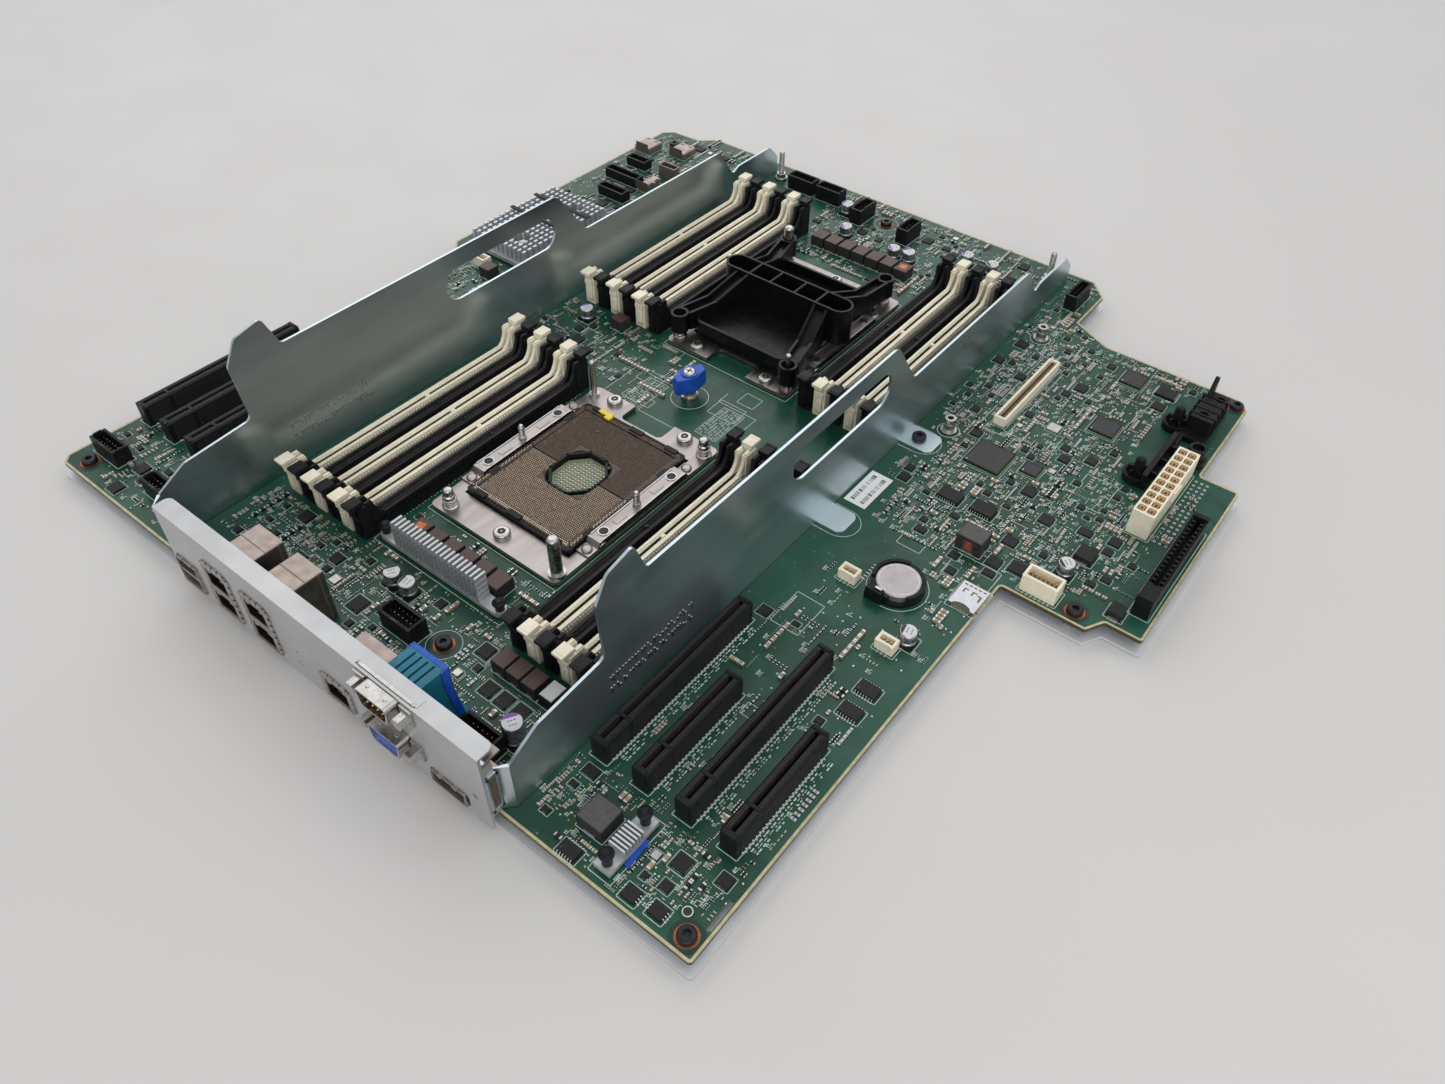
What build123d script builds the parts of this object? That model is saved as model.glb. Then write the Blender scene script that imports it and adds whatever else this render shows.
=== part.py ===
from build123d import *
import math
import os

# Dual-socket tower-server system board on its sheet-metal tray, with two guide brackets and
# the rear I/O panel. Millimetres. +Z is up, the tray rests on Z = 0, -Y is the rear I/O edge,
# +X is the side with the expansion slots. The origin is the centre of the board's envelope.

os.makedirs("parts", exist_ok=True)

# ---- main dimensions ----
tray_thick = 1.2
standoff_h = 4.8
board_thick = 2.0
board_bottom = tray_thick + standoff_h
board_top = board_bottom + board_thick
sheet = 1.2
gap = 0.3

board_left = -225.5
board_right = 224.5
board_rear = -230.5
board_far = 231.0
left_step = 6.0
left_step_y = 22.0
tray_lip = 1.6
screw_head_h = 2.4
foot_w = 15.0
foot_hole_r = 1.5

screw_head_r = 3.6
screw_shank_r = 1.5
screw_socket_r = 1.7
screw_edge_r = 1.0
shank_below = 3.5
standoff_hex_r = 3.6
mask_clear = 0.2
screw_spots = [(156.7, -224), (1.6, -192), (195.2, -13.4), (-39.8, 208.6), (-212.7, -222.5),
               (200, 167.5), (-206, -75), (-212, 205)]
bracket_screw_spots = [(85.4, 41), (-143.5, 41), (-143.5, -137)]

wall_right_x = 78.6
wall_left_x = -135.0
hold_slot_len = 76.0
hold_slot_h = 17.5
hold_slot_y = -22.0
hold_slot_z = 46.3

cpu_x = -24.5
cpu_1_y = -86.0
cpu_2_y = 80.0
plate_w = 80.0
plate_l = 112.0
plate_t = 2.0
plate_z = board_top + 0.6
arm_x = 36.8
arm_w = 7.4
field_w = 60.0
field_l = 73.0

dimm_w = 6.8
dimm_l = 143.0
dimm_pitch = 9.4
dimm_count = 3
rail_h = 8.0
rail_step_h = 5.0
rail_step_w = 0.8
key_share = 0.56
key_half = 1.0
card_slot_w = 1.6
card_slot_floor = 2.2
pocket_l = 4.2
pocket_floor = 1.4
tower_h = 18.0
tower_l = 8.0
latch_gap = 0.25
latch_w = 3.6
latch_top = 21.2
latch_pivot_h = 4.5
cap_lift = 1.0
tab_w = 4.4
tab_t = 1.6

pcie_w = 7.5
pcie_h = 11.25
pcie_x16 = 89.0
pcie_x8 = 56.0
pcie_pitch = 20.32

panel_front = -235.5
panel_left = -114.0
panel_right = 77.0
panel_bottom = 4.0
panel_top = 48.4
panel_flange = 8.0

knob_spot = (-24.1, -4.8)
battery_spot = (129.2, -49.1)
battery_r = 10.0
battery_h = 3.2


# ---- board outline, shared by the board and, one lip wider, by the tray ----
outline = [(board_left + 4, board_rear), (163.5, board_rear), (163.5, -20), (203, -20),
           (208, -11), (board_right, -11), (board_right, 104), (205.5, 104), (205.5, 168),
           (199, 174.5), (125, 174.5), (103, 186), (103, 219), (92, board_far),
           (-194, board_far), (-204, 222), (board_left, 221), (board_left - left_step, 215),
           (board_left - left_step, left_step_y), (board_left, left_step_y - left_step),
           (board_left, board_rear + 4)]
tooling_holes = [(151.4, -217.3), (154, 5), (150, -7)]
tooling_hole_r = 1.6
tie_slot_spot = (160.8, -211.5)
tie_slot_l = 14.0
tie_slot_w = 2.4

with BuildPart() as base_tray:
    with BuildSketch():
        with BuildLine():
            Polyline(*outline, close=True)
        make_face()
        offset(amount=tray_lip, kind=Kind.ARC)
    extrude(amount=tray_thick)
base_tray.part.label = "base_tray"
export_step(base_tray.part, "parts/base_tray.step")

with BuildPart() as tray_standoffs:
    with BuildSketch(Plane.XY.offset(tray_thick)):
        with Locations(*screw_spots):
            RegularPolygon(radius=standoff_hex_r, side_count=6)
            Circle(screw_shank_r, mode=Mode.SUBTRACT)
    extrude(amount=standoff_h)
tray_standoffs.part.label = "tray_standoffs"
export_step(tray_standoffs.part, "parts/tray_standoffs.step")

with BuildPart() as circuit_board:
    with BuildSketch(Plane.XY.offset(board_bottom)):
        with BuildLine():
            Polyline(*outline, close=True)
        make_face()
        with Locations(*screw_spots):
            Circle(screw_shank_r + mask_clear, mode=Mode.SUBTRACT)
        with Locations(*tooling_holes):
            Circle(tooling_hole_r, mode=Mode.SUBTRACT)
        with Locations(tie_slot_spot):
            SlotOverall(tie_slot_l, tie_slot_w, rotation=90, mode=Mode.SUBTRACT)
    extrude(amount=board_thick)
    fillet(circuit_board.edges().filter_by(Axis.Z).filter_by(GeomType.LINE), radius=1.5)
circuit_board.part.label = "circuit_board"
export_step(circuit_board.part, "parts/circuit_board.step")


# ---- fasteners: black pan-head screws in the tray standoffs and in the bracket feet ----
def pan_screw(seat_z, shank):
    with BuildPart() as screw:
        with BuildSketch(Plane.XY.offset(seat_z)):
            Circle(screw_head_r)
        extrude(amount=screw_head_h)
        fillet(screw.faces().sort_by(Axis.Z)[-1].edges(), radius=screw_edge_r)
        with BuildSketch(Plane.XY.offset(seat_z + screw_head_h)):
            RegularPolygon(radius=screw_socket_r, side_count=6)
        extrude(amount=-screw_head_h / 2, mode=Mode.SUBTRACT)
        with BuildSketch(Plane.XY.offset(seat_z)):
            Circle(screw_shank_r - 0.1)
        extrude(amount=-shank)
    return screw.part


board_screw = pan_screw(board_top, board_thick + shank_below)
foot_screw = pan_screw(board_top + sheet, sheet - 0.1)

with BuildPart() as black_screws:
    with Locations(*screw_spots):
        add(board_screw)
    with Locations(*bracket_screw_spots):
        add(foot_screw)
black_screws.part.label = "black_screws"
export_step(black_screws.part, "parts/black_screws.step")


# ---- guide brackets: one upright sheet each, with hand-hold slot, feet and curled rear end ----
wall_rear = -225.0
wall_far = 221.0
wall_bottom = board_top + gap
wall_profile = [(wall_rear, 34), (-210, 42), (-175.6, 44.6), (-177.6, 74), (-171, 85.2),
                (-157.2, 88.3), (-151.4, 72.6), (19.5, 72.6), (39, 44.6), (159, 44.4),
                (172.5, 25), (179, 28), (212, 28), (wall_far, 19), (wall_far, wall_bottom),
                (wall_rear, wall_bottom)]
wall_corner_r = [3, 4, 3, 4, 4, 2.5, 2.5, 7, 4, 5, 3, 3, 5, 3]
curl_out = 4.0
curl_h = 25.6


def guide_bracket(face_x, foot_side, feet, curl):
    inner_x = face_x - sheet
    with BuildPart() as bracket:
        with BuildSketch(Plane.YZ.offset(inner_x)) as wall:
            with BuildLine():
                Polyline(*wall_profile, close=True)
            make_face()
            for corner, corner_r in zip(wall_profile, wall_corner_r):
                fillet(wall.vertices().sort_by_distance((*corner, 0))[0], radius=corner_r)
            with Locations((hold_slot_y, hold_slot_z + board_top)):
                RectangleRounded(hold_slot_len, hold_slot_h, 8, mode=Mode.SUBTRACT)
        extrude(amount=sheet)
        # feet lie flat on the board
        for foot_y, foot_reach in feet:
            foot_x = inner_x + (sheet if foot_side > 0 else 0) + foot_side * foot_reach / 2
            with BuildSketch(Plane.XY.offset(board_top)):
                with Locations((foot_x - foot_side * sheet, foot_y)):
                    Rectangle(foot_reach, foot_w)
                with Locations((foot_x + foot_side * (foot_reach / 2 - 3), foot_y)):
                    RectangleRounded(8, foot_w, 3.9)
                for spot in bracket_screw_spots:
                    with Locations(spot):
                        Circle(foot_hole_r, mode=Mode.SUBTRACT)
            extrude(amount=sheet)
        # vertical curl that closes the rear end towards the I/O panel
        curl_x = inner_x - curl_out if curl > 0 else face_x + curl_out
        curl_end = wall_rear - 5.5
        with BuildSketch(Plane.XY.offset(wall_bottom)):
            with BuildLine():
                Polyline((face_x if curl > 0 else inner_x, wall_rear), (curl_x, curl_end),
                         (curl_x - curl * 6, curl_end), (curl_x - curl * 6, curl_end + sheet),
                         (curl_x + curl * 0.6, curl_end + sheet),
                         (inner_x if curl > 0 else face_x, wall_rear + 1), close=True)
            make_face()
        extrude(amount=curl_h)
    return bracket


right_guide_bracket = guide_bracket(wall_right_x, 1, [(-31.5, 13), (41, 16)], 1)
left_guide_bracket = guide_bracket(wall_left_x, -1, [(41, 13), (-137, 13)], -1)
right_guide_bracket.part.label = "right_guide_bracket"
export_step(right_guide_bracket.part, "parts/right_guide_bracket.step")
left_guide_bracket.part.label = "left_guide_bracket"
export_step(left_guide_bracket.part, "parts/left_guide_bracket.step")

stud_spots_far = [(-126.6, 214.6), (69.7, 214.6)]
stud_flange_h = 1.6
stud_hex_h = 2.6
stud_pin_r = 1.9
stud_pin_h = 15.0
stud_flange_r = 4.2
stud_hex_r = 3.4
stud_tip_r = 1.2
with BuildPart() as alignment_studs:
    with BuildSketch(Plane.XY.offset(board_top)):
        with Locations(*stud_spots_far):
            Circle(stud_flange_r)
    extrude(amount=stud_flange_h)
    with BuildSketch(Plane.XY.offset(board_top + stud_flange_h)):
        with Locations(*stud_spots_far):
            RegularPolygon(radius=stud_hex_r, side_count=6)
    extrude(amount=stud_hex_h)
    with BuildSketch(Plane.XY.offset(board_top + stud_flange_h + stud_hex_h)):
        with Locations(*stud_spots_far):
            Circle(stud_pin_r)
    extrude(amount=stud_pin_h)
    fillet(alignment_studs.faces().filter_by(Axis.Z).sort_by(Axis.Z)[-2:].edges(), radius=stud_tip_r)
alignment_studs.part.label = "alignment_studs"
export_step(alignment_studs.part, "parts/alignment_studs.step")


# ---- rear I/O panel ----
ethernet_w = 16.6
ethernet_h = 27.6
ethernet_xs = [-78.2, -52.3]
management_x = -6.5
management_w = 16.0
management_h = 14.0
usb_stack_x = -103.5
usb_stack_w = 14.4
usb_stack_h = 15.6
usb_single_x = 55.5
usb_single_w = 18.0
usb_single_h = 7.2
inner_port_spot = (-185.2, 168)
inner_port_w = 13.2
inner_port_d = 5.8
inner_port_h = 8.0
dsub_x = 29.0
dsub_screw_reach = 12.5
serial_z = board_top + 34.8
vga_z = board_top + 13.6
dsub_shell_w = 18.0
dsub_shell_h = 9.6
dsub_flange_w = 30.8
dsub_flange_h = 12.4
dsub_shell_l = 7.0
dsub_taper = 1.8
dsub_shell_t = 0.9
jack_proud = 0.8
jack_mouth_w = 12.4
jack_mouth_h = 9.4
usb_mouth_h = 5.4

with BuildPart() as rear_io_panel:
    with BuildSketch(Plane.XZ.offset(-panel_front)):
        with Locations(((panel_left + panel_right) / 2, (panel_bottom + panel_top) / 2)):
            RectangleRounded(panel_right - panel_left, panel_top - panel_bottom, 1.5)
    extrude(amount=-sheet)
    # top flange folds back over the jacks
    with BuildSketch(Plane.XY.offset(panel_top - sheet)):
        with Locations(((panel_left + panel_right) / 2, panel_front + panel_flange / 2)):
            Rectangle(panel_right - panel_left, panel_flange)
    extrude(amount=sheet)
    flange_ends = rear_io_panel.edges().filter_by(Axis.Z).group_by(Axis.Y)[-1]
    fillet(flange_ends, radius=3)
    # right-hand return with its hook window
    with BuildSketch(Plane.YZ.offset(panel_right - sheet)):
        with Locations((panel_front + 2.6, 27)):
            Rectangle(5.2, 30)
    extrude(amount=sheet)
    # port cut-outs
    with BuildSketch(Plane.XZ.offset(-panel_front)):
        for jack_x in ethernet_xs:
            with Locations((jack_x, board_top + ethernet_h / 2)):
                Rectangle(ethernet_w + 2 * gap, ethernet_h + 2 * gap)
        with Locations((management_x, board_top + management_h / 2)):
            Rectangle(management_w + 2 * gap, management_h + 2 * gap)
        with Locations((usb_stack_x, board_top + usb_stack_h / 2)):
            Rectangle(usb_stack_w + 2 * gap, usb_stack_h + 2 * gap)
        with Locations((usb_single_x, board_top + usb_single_h / 2)):
            RectangleRounded(usb_single_w + 2 * gap + 2, usb_single_h + 2 * gap, 2)
        for port_z in (serial_z, vga_z):
            with Locations((dsub_x, port_z)):
                RectangleRounded(dsub_shell_w + 2 * gap, dsub_shell_h + 2 * gap, 2)
            with Locations((dsub_x - dsub_screw_reach, port_z), (dsub_x + dsub_screw_reach, port_z)):
                Circle(1.9)
        with Locations((-30, 14), (-30, 20), (70.5, 20)):
            Circle(1.3)
    extrude(amount=-sheet, mode=Mode.SUBTRACT)
    # slot in the top flange where the upper D port's flange comes up
    with BuildSketch(Plane.XY.offset(panel_top)):
        with Locations((dsub_x, panel_front + sheet + 0.7)):
            Rectangle(31.6, 1.6)
    extrude(amount=-2 * sheet, mode=Mode.SUBTRACT)
rear_io_panel.part.label = "rear_io_panel"
export_step(rear_io_panel.part, "parts/rear_io_panel.step")


# ---- rear ports ----
def cavity_jack(width, height, depth, wall, openings):
    """Open-fronted metal shell standing on the board; openings are (x, z, w, h, corner)."""
    with BuildPart() as jack:
        with BuildSketch(Plane.XZ.offset(-panel_front + jack_proud)):
            with Locations((0, board_top + height / 2)):
                RectangleRounded(width, height, 0.6)
        extrude(amount=-depth)
        with BuildSketch(Plane.XZ.offset(-panel_front + jack_proud)):
            for open_x, open_z, open_w, open_h in openings:
                with Locations((open_x, board_top + open_z)):
                    RectangleRounded(open_w, open_h, 0.5)
        extrude(amount=-(depth - wall), mode=Mode.SUBTRACT)
    return jack.part


ethernet_stack = cavity_jack(ethernet_w, ethernet_h, 27.4, 6,
                             [(0, 7.2, jack_mouth_w, jack_mouth_h),
                              (0, 20.4, jack_mouth_w, jack_mouth_h)])
management_part = cavity_jack(management_w, management_h, 21.5, 6,
                              [(0, 7, jack_mouth_w, jack_mouth_h)])
usb_stack_part = cavity_jack(usb_stack_w, usb_stack_h, 17.5, 4,
                             [(0, 4.2, 13, usb_mouth_h), (0, 11.4, 13, usb_mouth_h)])
usb_single_part = cavity_jack(usb_single_w, usb_single_h, 16, 4, 
                              [(0, 3.6, 16.4, usb_mouth_h)])

with BuildPart() as ethernet_jacks:
    with Locations(*[(jack_x, 0) for jack_x in ethernet_xs]):
        add(ethernet_stack)
    with Locations((management_x, 0)):
        add(management_part)
ethernet_jacks.part.label = "ethernet_jacks"
export_step(ethernet_jacks.part, "parts/ethernet_jacks.step")

with BuildPart() as usb_ports:
    with Locations((usb_stack_x, 0)):
        add(usb_stack_part)
    with Locations((usb_single_x, 0)):
        add(usb_single_part)
    # upward-facing internal port near the far left corner of the board
    with BuildSketch(Plane.XY.offset(board_top)):
        with Locations(inner_port_spot):
            Rectangle(inner_port_w, inner_port_d)
    extrude(amount=inner_port_h)
    with BuildSketch(Plane.XY.offset(board_top + inner_port_h)):
        with Locations(inner_port_spot):
            Rectangle(inner_port_w - 1, inner_port_d - 1)
    extrude(amount=-(inner_port_h - 2), mode=Mode.SUBTRACT)
usb_ports.part.label = "usb_ports"
export_step(usb_ports.part, "parts/usb_ports.step")


def dsub_port(port_z, depth):
    """Tapered D shell through the panel with its flange behind the sheet."""
    half_w = dsub_shell_w / 2
    half_h = dsub_shell_h / 2
    inner_w = half_w - dsub_shell_t
    inner_h = half_h - dsub_shell_t
    with BuildPart() as port:
        with BuildSketch(Plane.XZ.offset(-panel_front - sheet)):
            with Locations((dsub_x, port_z)):
                RectangleRounded(dsub_flange_w, dsub_flange_h, 1.5)
            with Locations((dsub_x - dsub_screw_reach, port_z), (dsub_x + dsub_screw_reach, port_z)):
                Circle(1.6, mode=Mode.SUBTRACT)
        extrude(amount=-sheet)
        with BuildSketch(Plane.XZ.offset(-panel_front - sheet)) as shell_outer:
            with BuildLine():
                Polyline((dsub_x - half_w, port_z + half_h), (dsub_x + half_w, port_z + half_h),
                         (dsub_x + half_w - dsub_taper, port_z - half_h),
                         (dsub_x - half_w + dsub_taper, port_z - half_h), close=True)
            make_face()
            fillet(shell_outer.vertices(), radius=1.8)
        extrude(amount=dsub_shell_l)
        with BuildSketch(Plane.XZ.offset(-panel_front - sheet + dsub_shell_l)) as shell_inner:
            with BuildLine():
                Polyline((dsub_x - inner_w, port_z + inner_h), (dsub_x + inner_w, port_z + inner_h),
                         (dsub_x + inner_w - dsub_taper, port_z - inner_h),
                         (dsub_x - inner_w + dsub_taper, port_z - inner_h), close=True)
            make_face()
            fillet(shell_inner.vertices(), radius=1.2)
        extrude(amount=-depth, mode=Mode.SUBTRACT)
    return port


serial_port = dsub_port(serial_z, 6.2)
vga_port = dsub_port(vga_z, 0.8)
serial_port.part.label = "serial_port"
export_step(serial_port.part, "parts/serial_port.step")
vga_port.part.label = "vga_port"
export_step(vga_port.part, "parts/vga_port.step")

# plastic housing that carries both D ports, with a ribbed top
housing_w = 18.0
housing_front = panel_front + 2 * sheet
housing_rear = -214.6
housing_top = board_top + 38.0
with BuildPart() as dsub_housing:
    with BuildSketch(Plane.YZ.offset(dsub_x + 0.5 - housing_w / 2)):
        with BuildLine():
            Polyline((housing_front + gap / 3, board_top), (housing_front + gap / 3, housing_top),
                     (housing_rear, housing_top), (housing_rear, housing_top - 9),
                     (housing_rear + 2.5, board_top + 9), (housing_rear + 6, board_top + 5),
                     (housing_rear + 6, board_top), close=True)
        make_face()
    extrude(amount=housing_w)
    with BuildSketch(Plane.XY.offset(housing_top)):
        with Locations((dsub_x + 0.5, (housing_front + housing_rear) / 2 - 1)):
            with GridLocations(3.4, 1, 4, 1):
                Rectangle(1.0, housing_rear - housing_front - 3)
    extrude(amount=-1.2, mode=Mode.SUBTRACT)
dsub_housing.part.label = "dsub_housing"
export_step(dsub_housing.part, "parts/dsub_housing.step")

jackscrew_hex_r = 2.8
jackscrew_hex_l = 5.4
jackscrew_r = 1.5
with BuildPart() as dsub_jackscrews:
    for port_z in (serial_z, vga_z):
        for side in (-dsub_screw_reach, dsub_screw_reach):
            with BuildSketch(Plane.XZ.offset(-panel_front)):
                with Locations((dsub_x + side, port_z)):
                    RegularPolygon(radius=jackscrew_hex_r, side_count=6)
            extrude(amount=jackscrew_hex_l)
            with BuildSketch(Plane.XZ.offset(-panel_front)):
                with Locations((dsub_x + side, port_z)):
                    Circle(jackscrew_r)
            extrude(amount=-(2 * sheet + 0.4))
dsub_jackscrews.part.label = "dsub_jackscrews"
export_step(dsub_jackscrews.part, "parts/dsub_jackscrews.step")


# ---- processor sockets ----
# the far plate is the near plate turned half a turn: (centre y, turn sign)
sockets = [(cpu_1_y, 1), (cpu_2_y, -1)]
torx_spots = [(0.7, -49.5), (-24.0, 51.4), (22.0, 51.4)]
stud_spots = [(-31.2, -51), (36.3, 48.6)]
post_spot = (36.3, -51)
pin_spot = (-36.3, 49.5)
plate_pad_r = 2.2
plate_bay_w = 26.0
plate_bay_l = 14.0
torx_head_r = 4.0
torx_head_h = 2.6
torx_socket_r = 1.9
torx_socket_h = 1.4
post_flange_r = 4.0
post_flange_h = 1.8
post_r = 2.9
post_h = 20.6
pin_flange_r = 2.6
pin_flange_h = 1.4
pin_r = 1.5
pin_h = 19.8


def at_sockets(spots):
    """Board positions of plate-relative spots at both sockets."""
    found = []
    for centre_y, turn in sockets:
        for rel_x, rel_y in spots:
            found.append((cpu_x + turn * rel_x, centre_y + turn * rel_y))
    return found


with BuildPart() as bolster_plates:
    for centre_y, turn in sockets:
        with BuildSketch(Plane.XY.offset(plate_z)):
            with Locations((cpu_x, centre_y)):
                RectangleRounded(plate_w, plate_l, 3)
                Rectangle(field_w + 6.4, field_l + 9, mode=Mode.SUBTRACT)
            # the far end is two ears with a bay between them
            with Locations((cpu_x - turn * 1, centre_y + turn * (plate_l / 2 - 5))):
                RectangleRounded(plate_bay_w, plate_bay_l, 3, mode=Mode.SUBTRACT)
        extrude(amount=plate_t)
        # backing pads carry the plate on the board
        with BuildSketch(Plane.XY.offset(board_top)):
            for pad_x, pad_y in torx_spots + stud_spots + [post_spot, pin_spot]:
                with Locations((cpu_x + turn * pad_x, centre_y + turn * pad_y)):
                    Circle(plate_pad_r)
        extrude(amount=plate_z - board_top)
bolster_plates.part.label = "bolster_plates"
export_step(bolster_plates.part, "parts/bolster_plates.step")

plate_top = plate_z + plate_t

with BuildPart() as bolster_screws:
    for spot in at_sockets(torx_spots):
        with BuildSketch(Plane.XY.offset(plate_top)):
            with Locations(spot):
                Circle(torx_head_r)
        extrude(amount=torx_head_h)
        with BuildSketch(Plane.XY.offset(plate_top + torx_head_h)):
            with Locations(spot):
                RegularPolygon(radius=torx_socket_r, side_count=6)
        extrude(amount=-torx_socket_h, mode=Mode.SUBTRACT)
    fillet(bolster_screws.faces().filter_by(Axis.Z).group_by(Axis.Z)[-1].edges()
           .filter_by(GeomType.CIRCLE), radius=1.2)
bolster_screws.part.label = "bolster_screws"
export_step(bolster_screws.part, "parts/bolster_screws.step")

with BuildPart() as guide_posts:
    for spot in at_sockets([post_spot]):
        with BuildSketch(Plane.XY.offset(plate_top)):
            with Locations(spot):
                Circle(post_flange_r)
        extrude(amount=post_flange_h)
        with BuildSketch(Plane.XY.offset(plate_top + post_flange_h)):
            with Locations(spot):
                Circle(post_r)
        extrude(amount=post_h)
    for spot in at_sockets([pin_spot]):
        with BuildSketch(Plane.XY.offset(plate_top)):
            with Locations(spot):
                Circle(pin_flange_r)
        extrude(amount=pin_flange_h)
        with BuildSketch(Plane.XY.offset(plate_top + pin_flange_h)):
            with Locations(spot):
                Circle(pin_r)
        extrude(amount=pin_h)
    fillet(guide_posts.faces().filter_by(Axis.Z).group_by(Axis.Z)[-1].edges(), radius=1.6)
    fillet(guide_posts.faces().filter_by(Axis.Z).group_by(Axis.Z)[-2].edges(), radius=1.0)
guide_posts.part.label = "guide_posts"
export_step(guide_posts.part, "parts/guide_posts.step")

# the leaf's side view, as half lengths: foot end, foot bend and raised part
arm_end = 37.0
arm_bend = 30.0
arm_raised = 28.5
arm_t = 1.0
arm_high = 2.6
arm_top = plate_top + arm_high + arm_t
arm_hole_y = 23.0
arm_hole_r = 1.7
with BuildPart() as retention_arms:
    for spot in at_sockets([(-arm_x, 1), (arm_x, 1)]):
        # leaf with two lowered feet, seen from the side as a shallow bridge
        with BuildSketch(Plane.YZ.offset(spot[0] - arm_w / 2)):
            with BuildLine():
                Polyline((spot[1] - arm_end, plate_top), (spot[1] - arm_bend, plate_top),
                         (spot[1] - arm_raised, arm_top - arm_t),
                         (spot[1] + arm_raised, arm_top - arm_t),
                         (spot[1] + arm_bend, plate_top), (spot[1] + arm_end, plate_top),
                         (spot[1] + arm_end, plate_top + arm_t),
                         (spot[1] + arm_bend + arm_t, plate_top + arm_t),
                         (spot[1] + arm_raised + 0.8, arm_top),
                         (spot[1] - arm_raised - 0.8, arm_top),
                         (spot[1] - arm_bend - arm_t, plate_top + arm_t),
                         (spot[1] - arm_end, plate_top + arm_t), close=True)
            make_face()
        extrude(amount=arm_w)
        with BuildSketch(Plane.XY.offset(arm_top)):
            with Locations((spot[0], spot[1] - arm_hole_y), (spot[0], spot[1] + arm_hole_y)):
                Circle(arm_hole_r)
        extrude(amount=-arm_t, mode=Mode.SUBTRACT)
retention_arms.part.label = "retention_arms"
export_step(retention_arms.part, "parts/retention_arms.step")

spring_r = 3.9
spring_h = 4.2
spring_tip_r = 2.5
spring_tip_h = 6.2
arm_nut_r = 2.1
arm_nut_h = 1.6
arm_stud_r = 1.6
arm_stud_h = 6.4
with BuildPart() as bolster_studs:
    for spot in at_sockets(stud_spots):
        with BuildSketch(Plane.XY.offset(plate_top)):
            with Locations(spot):
                Circle(spring_r)
        extrude(amount=spring_h)
        with BuildSketch(Plane.XY.offset(plate_top + spring_h)):
            with Locations(spot):
                Circle(spring_tip_r)
        extrude(amount=spring_tip_h)
    for spot in at_sockets([(-arm_x, 0), (arm_x, 0)]):
        with BuildSketch(Plane.XY.offset(arm_top)):
            with Locations(spot):
                Circle(arm_nut_r)
        extrude(amount=arm_nut_h)
        with BuildSketch(Plane.XY.offset(arm_top + arm_nut_h)):
            with Locations(spot):
                Circle(arm_stud_r)
        extrude(amount=arm_stud_h)
bolster_studs.part.label = "bolster_studs"
export_step(bolster_studs.part, "parts/bolster_studs.step")

frame_h = 5.2
frame_floor = 3.6
frame_side = 5.0
frame_end = 8.0
frame_top = board_top + frame_h
with BuildPart() as socket_frames:
    for centre_y, turn in sockets:
        with BuildSketch(Plane.XY.offset(board_top)):
            with Locations((cpu_x, centre_y)):
                RectangleRounded(field_w + frame_side, field_l + frame_end, 2)
        extrude(amount=frame_floor)
        with BuildSketch(Plane.XY.offset(board_top + frame_floor)):
            with Locations((cpu_x, centre_y)):
                RectangleRounded(field_w + frame_side, field_l + frame_end, 2)
                Rectangle(field_w, field_l, mode=Mode.SUBTRACT)
        extrude(amount=frame_h - frame_floor)
        # open cavity below the centre of the processor
        with BuildSketch(Plane.XY.offset(frame_top)):
            with Locations((cpu_x, centre_y)):
                RectangleRounded(24, 27, 7)
        extrude(amount=-frame_h, mode=Mode.SUBTRACT)
socket_frames.part.label = "socket_frames"
export_step(socket_frames.part, "parts/socket_frames.step")

with BuildPart() as contact_fields:
    for centre_y, turn in sockets:
        for half in (-1, 1):
            with BuildSketch(Plane.XY.offset(board_top + frame_floor)):
                with Locations((cpu_x, centre_y + half * (field_l / 4 + 0.05))):
                    Rectangle(field_w - 0.3, field_l / 2 - 0.7)
                with Locations((cpu_x, centre_y)):
                    RectangleRounded(25, 28, 7, mode=Mode.SUBTRACT)
            extrude(amount=1.0)
contact_fields.part.label = "contact_fields"
export_step(contact_fields.part, "parts/contact_fields.step")

with BuildPart() as socket_key_tab:
    with BuildSketch(Plane.XY.offset(frame_top)):
        with Locations((cpu_x - 18.5, cpu_1_y + 39.2)):
            Rectangle(8, 2.4)
            with Locations((3, -1.4)):
                Rectangle(3.4, 3)
    extrude(amount=1.2)
socket_key_tab.part.label = "socket_key_tab"
export_step(socket_key_tab.part, "parts/socket_key_tab.step")


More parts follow.
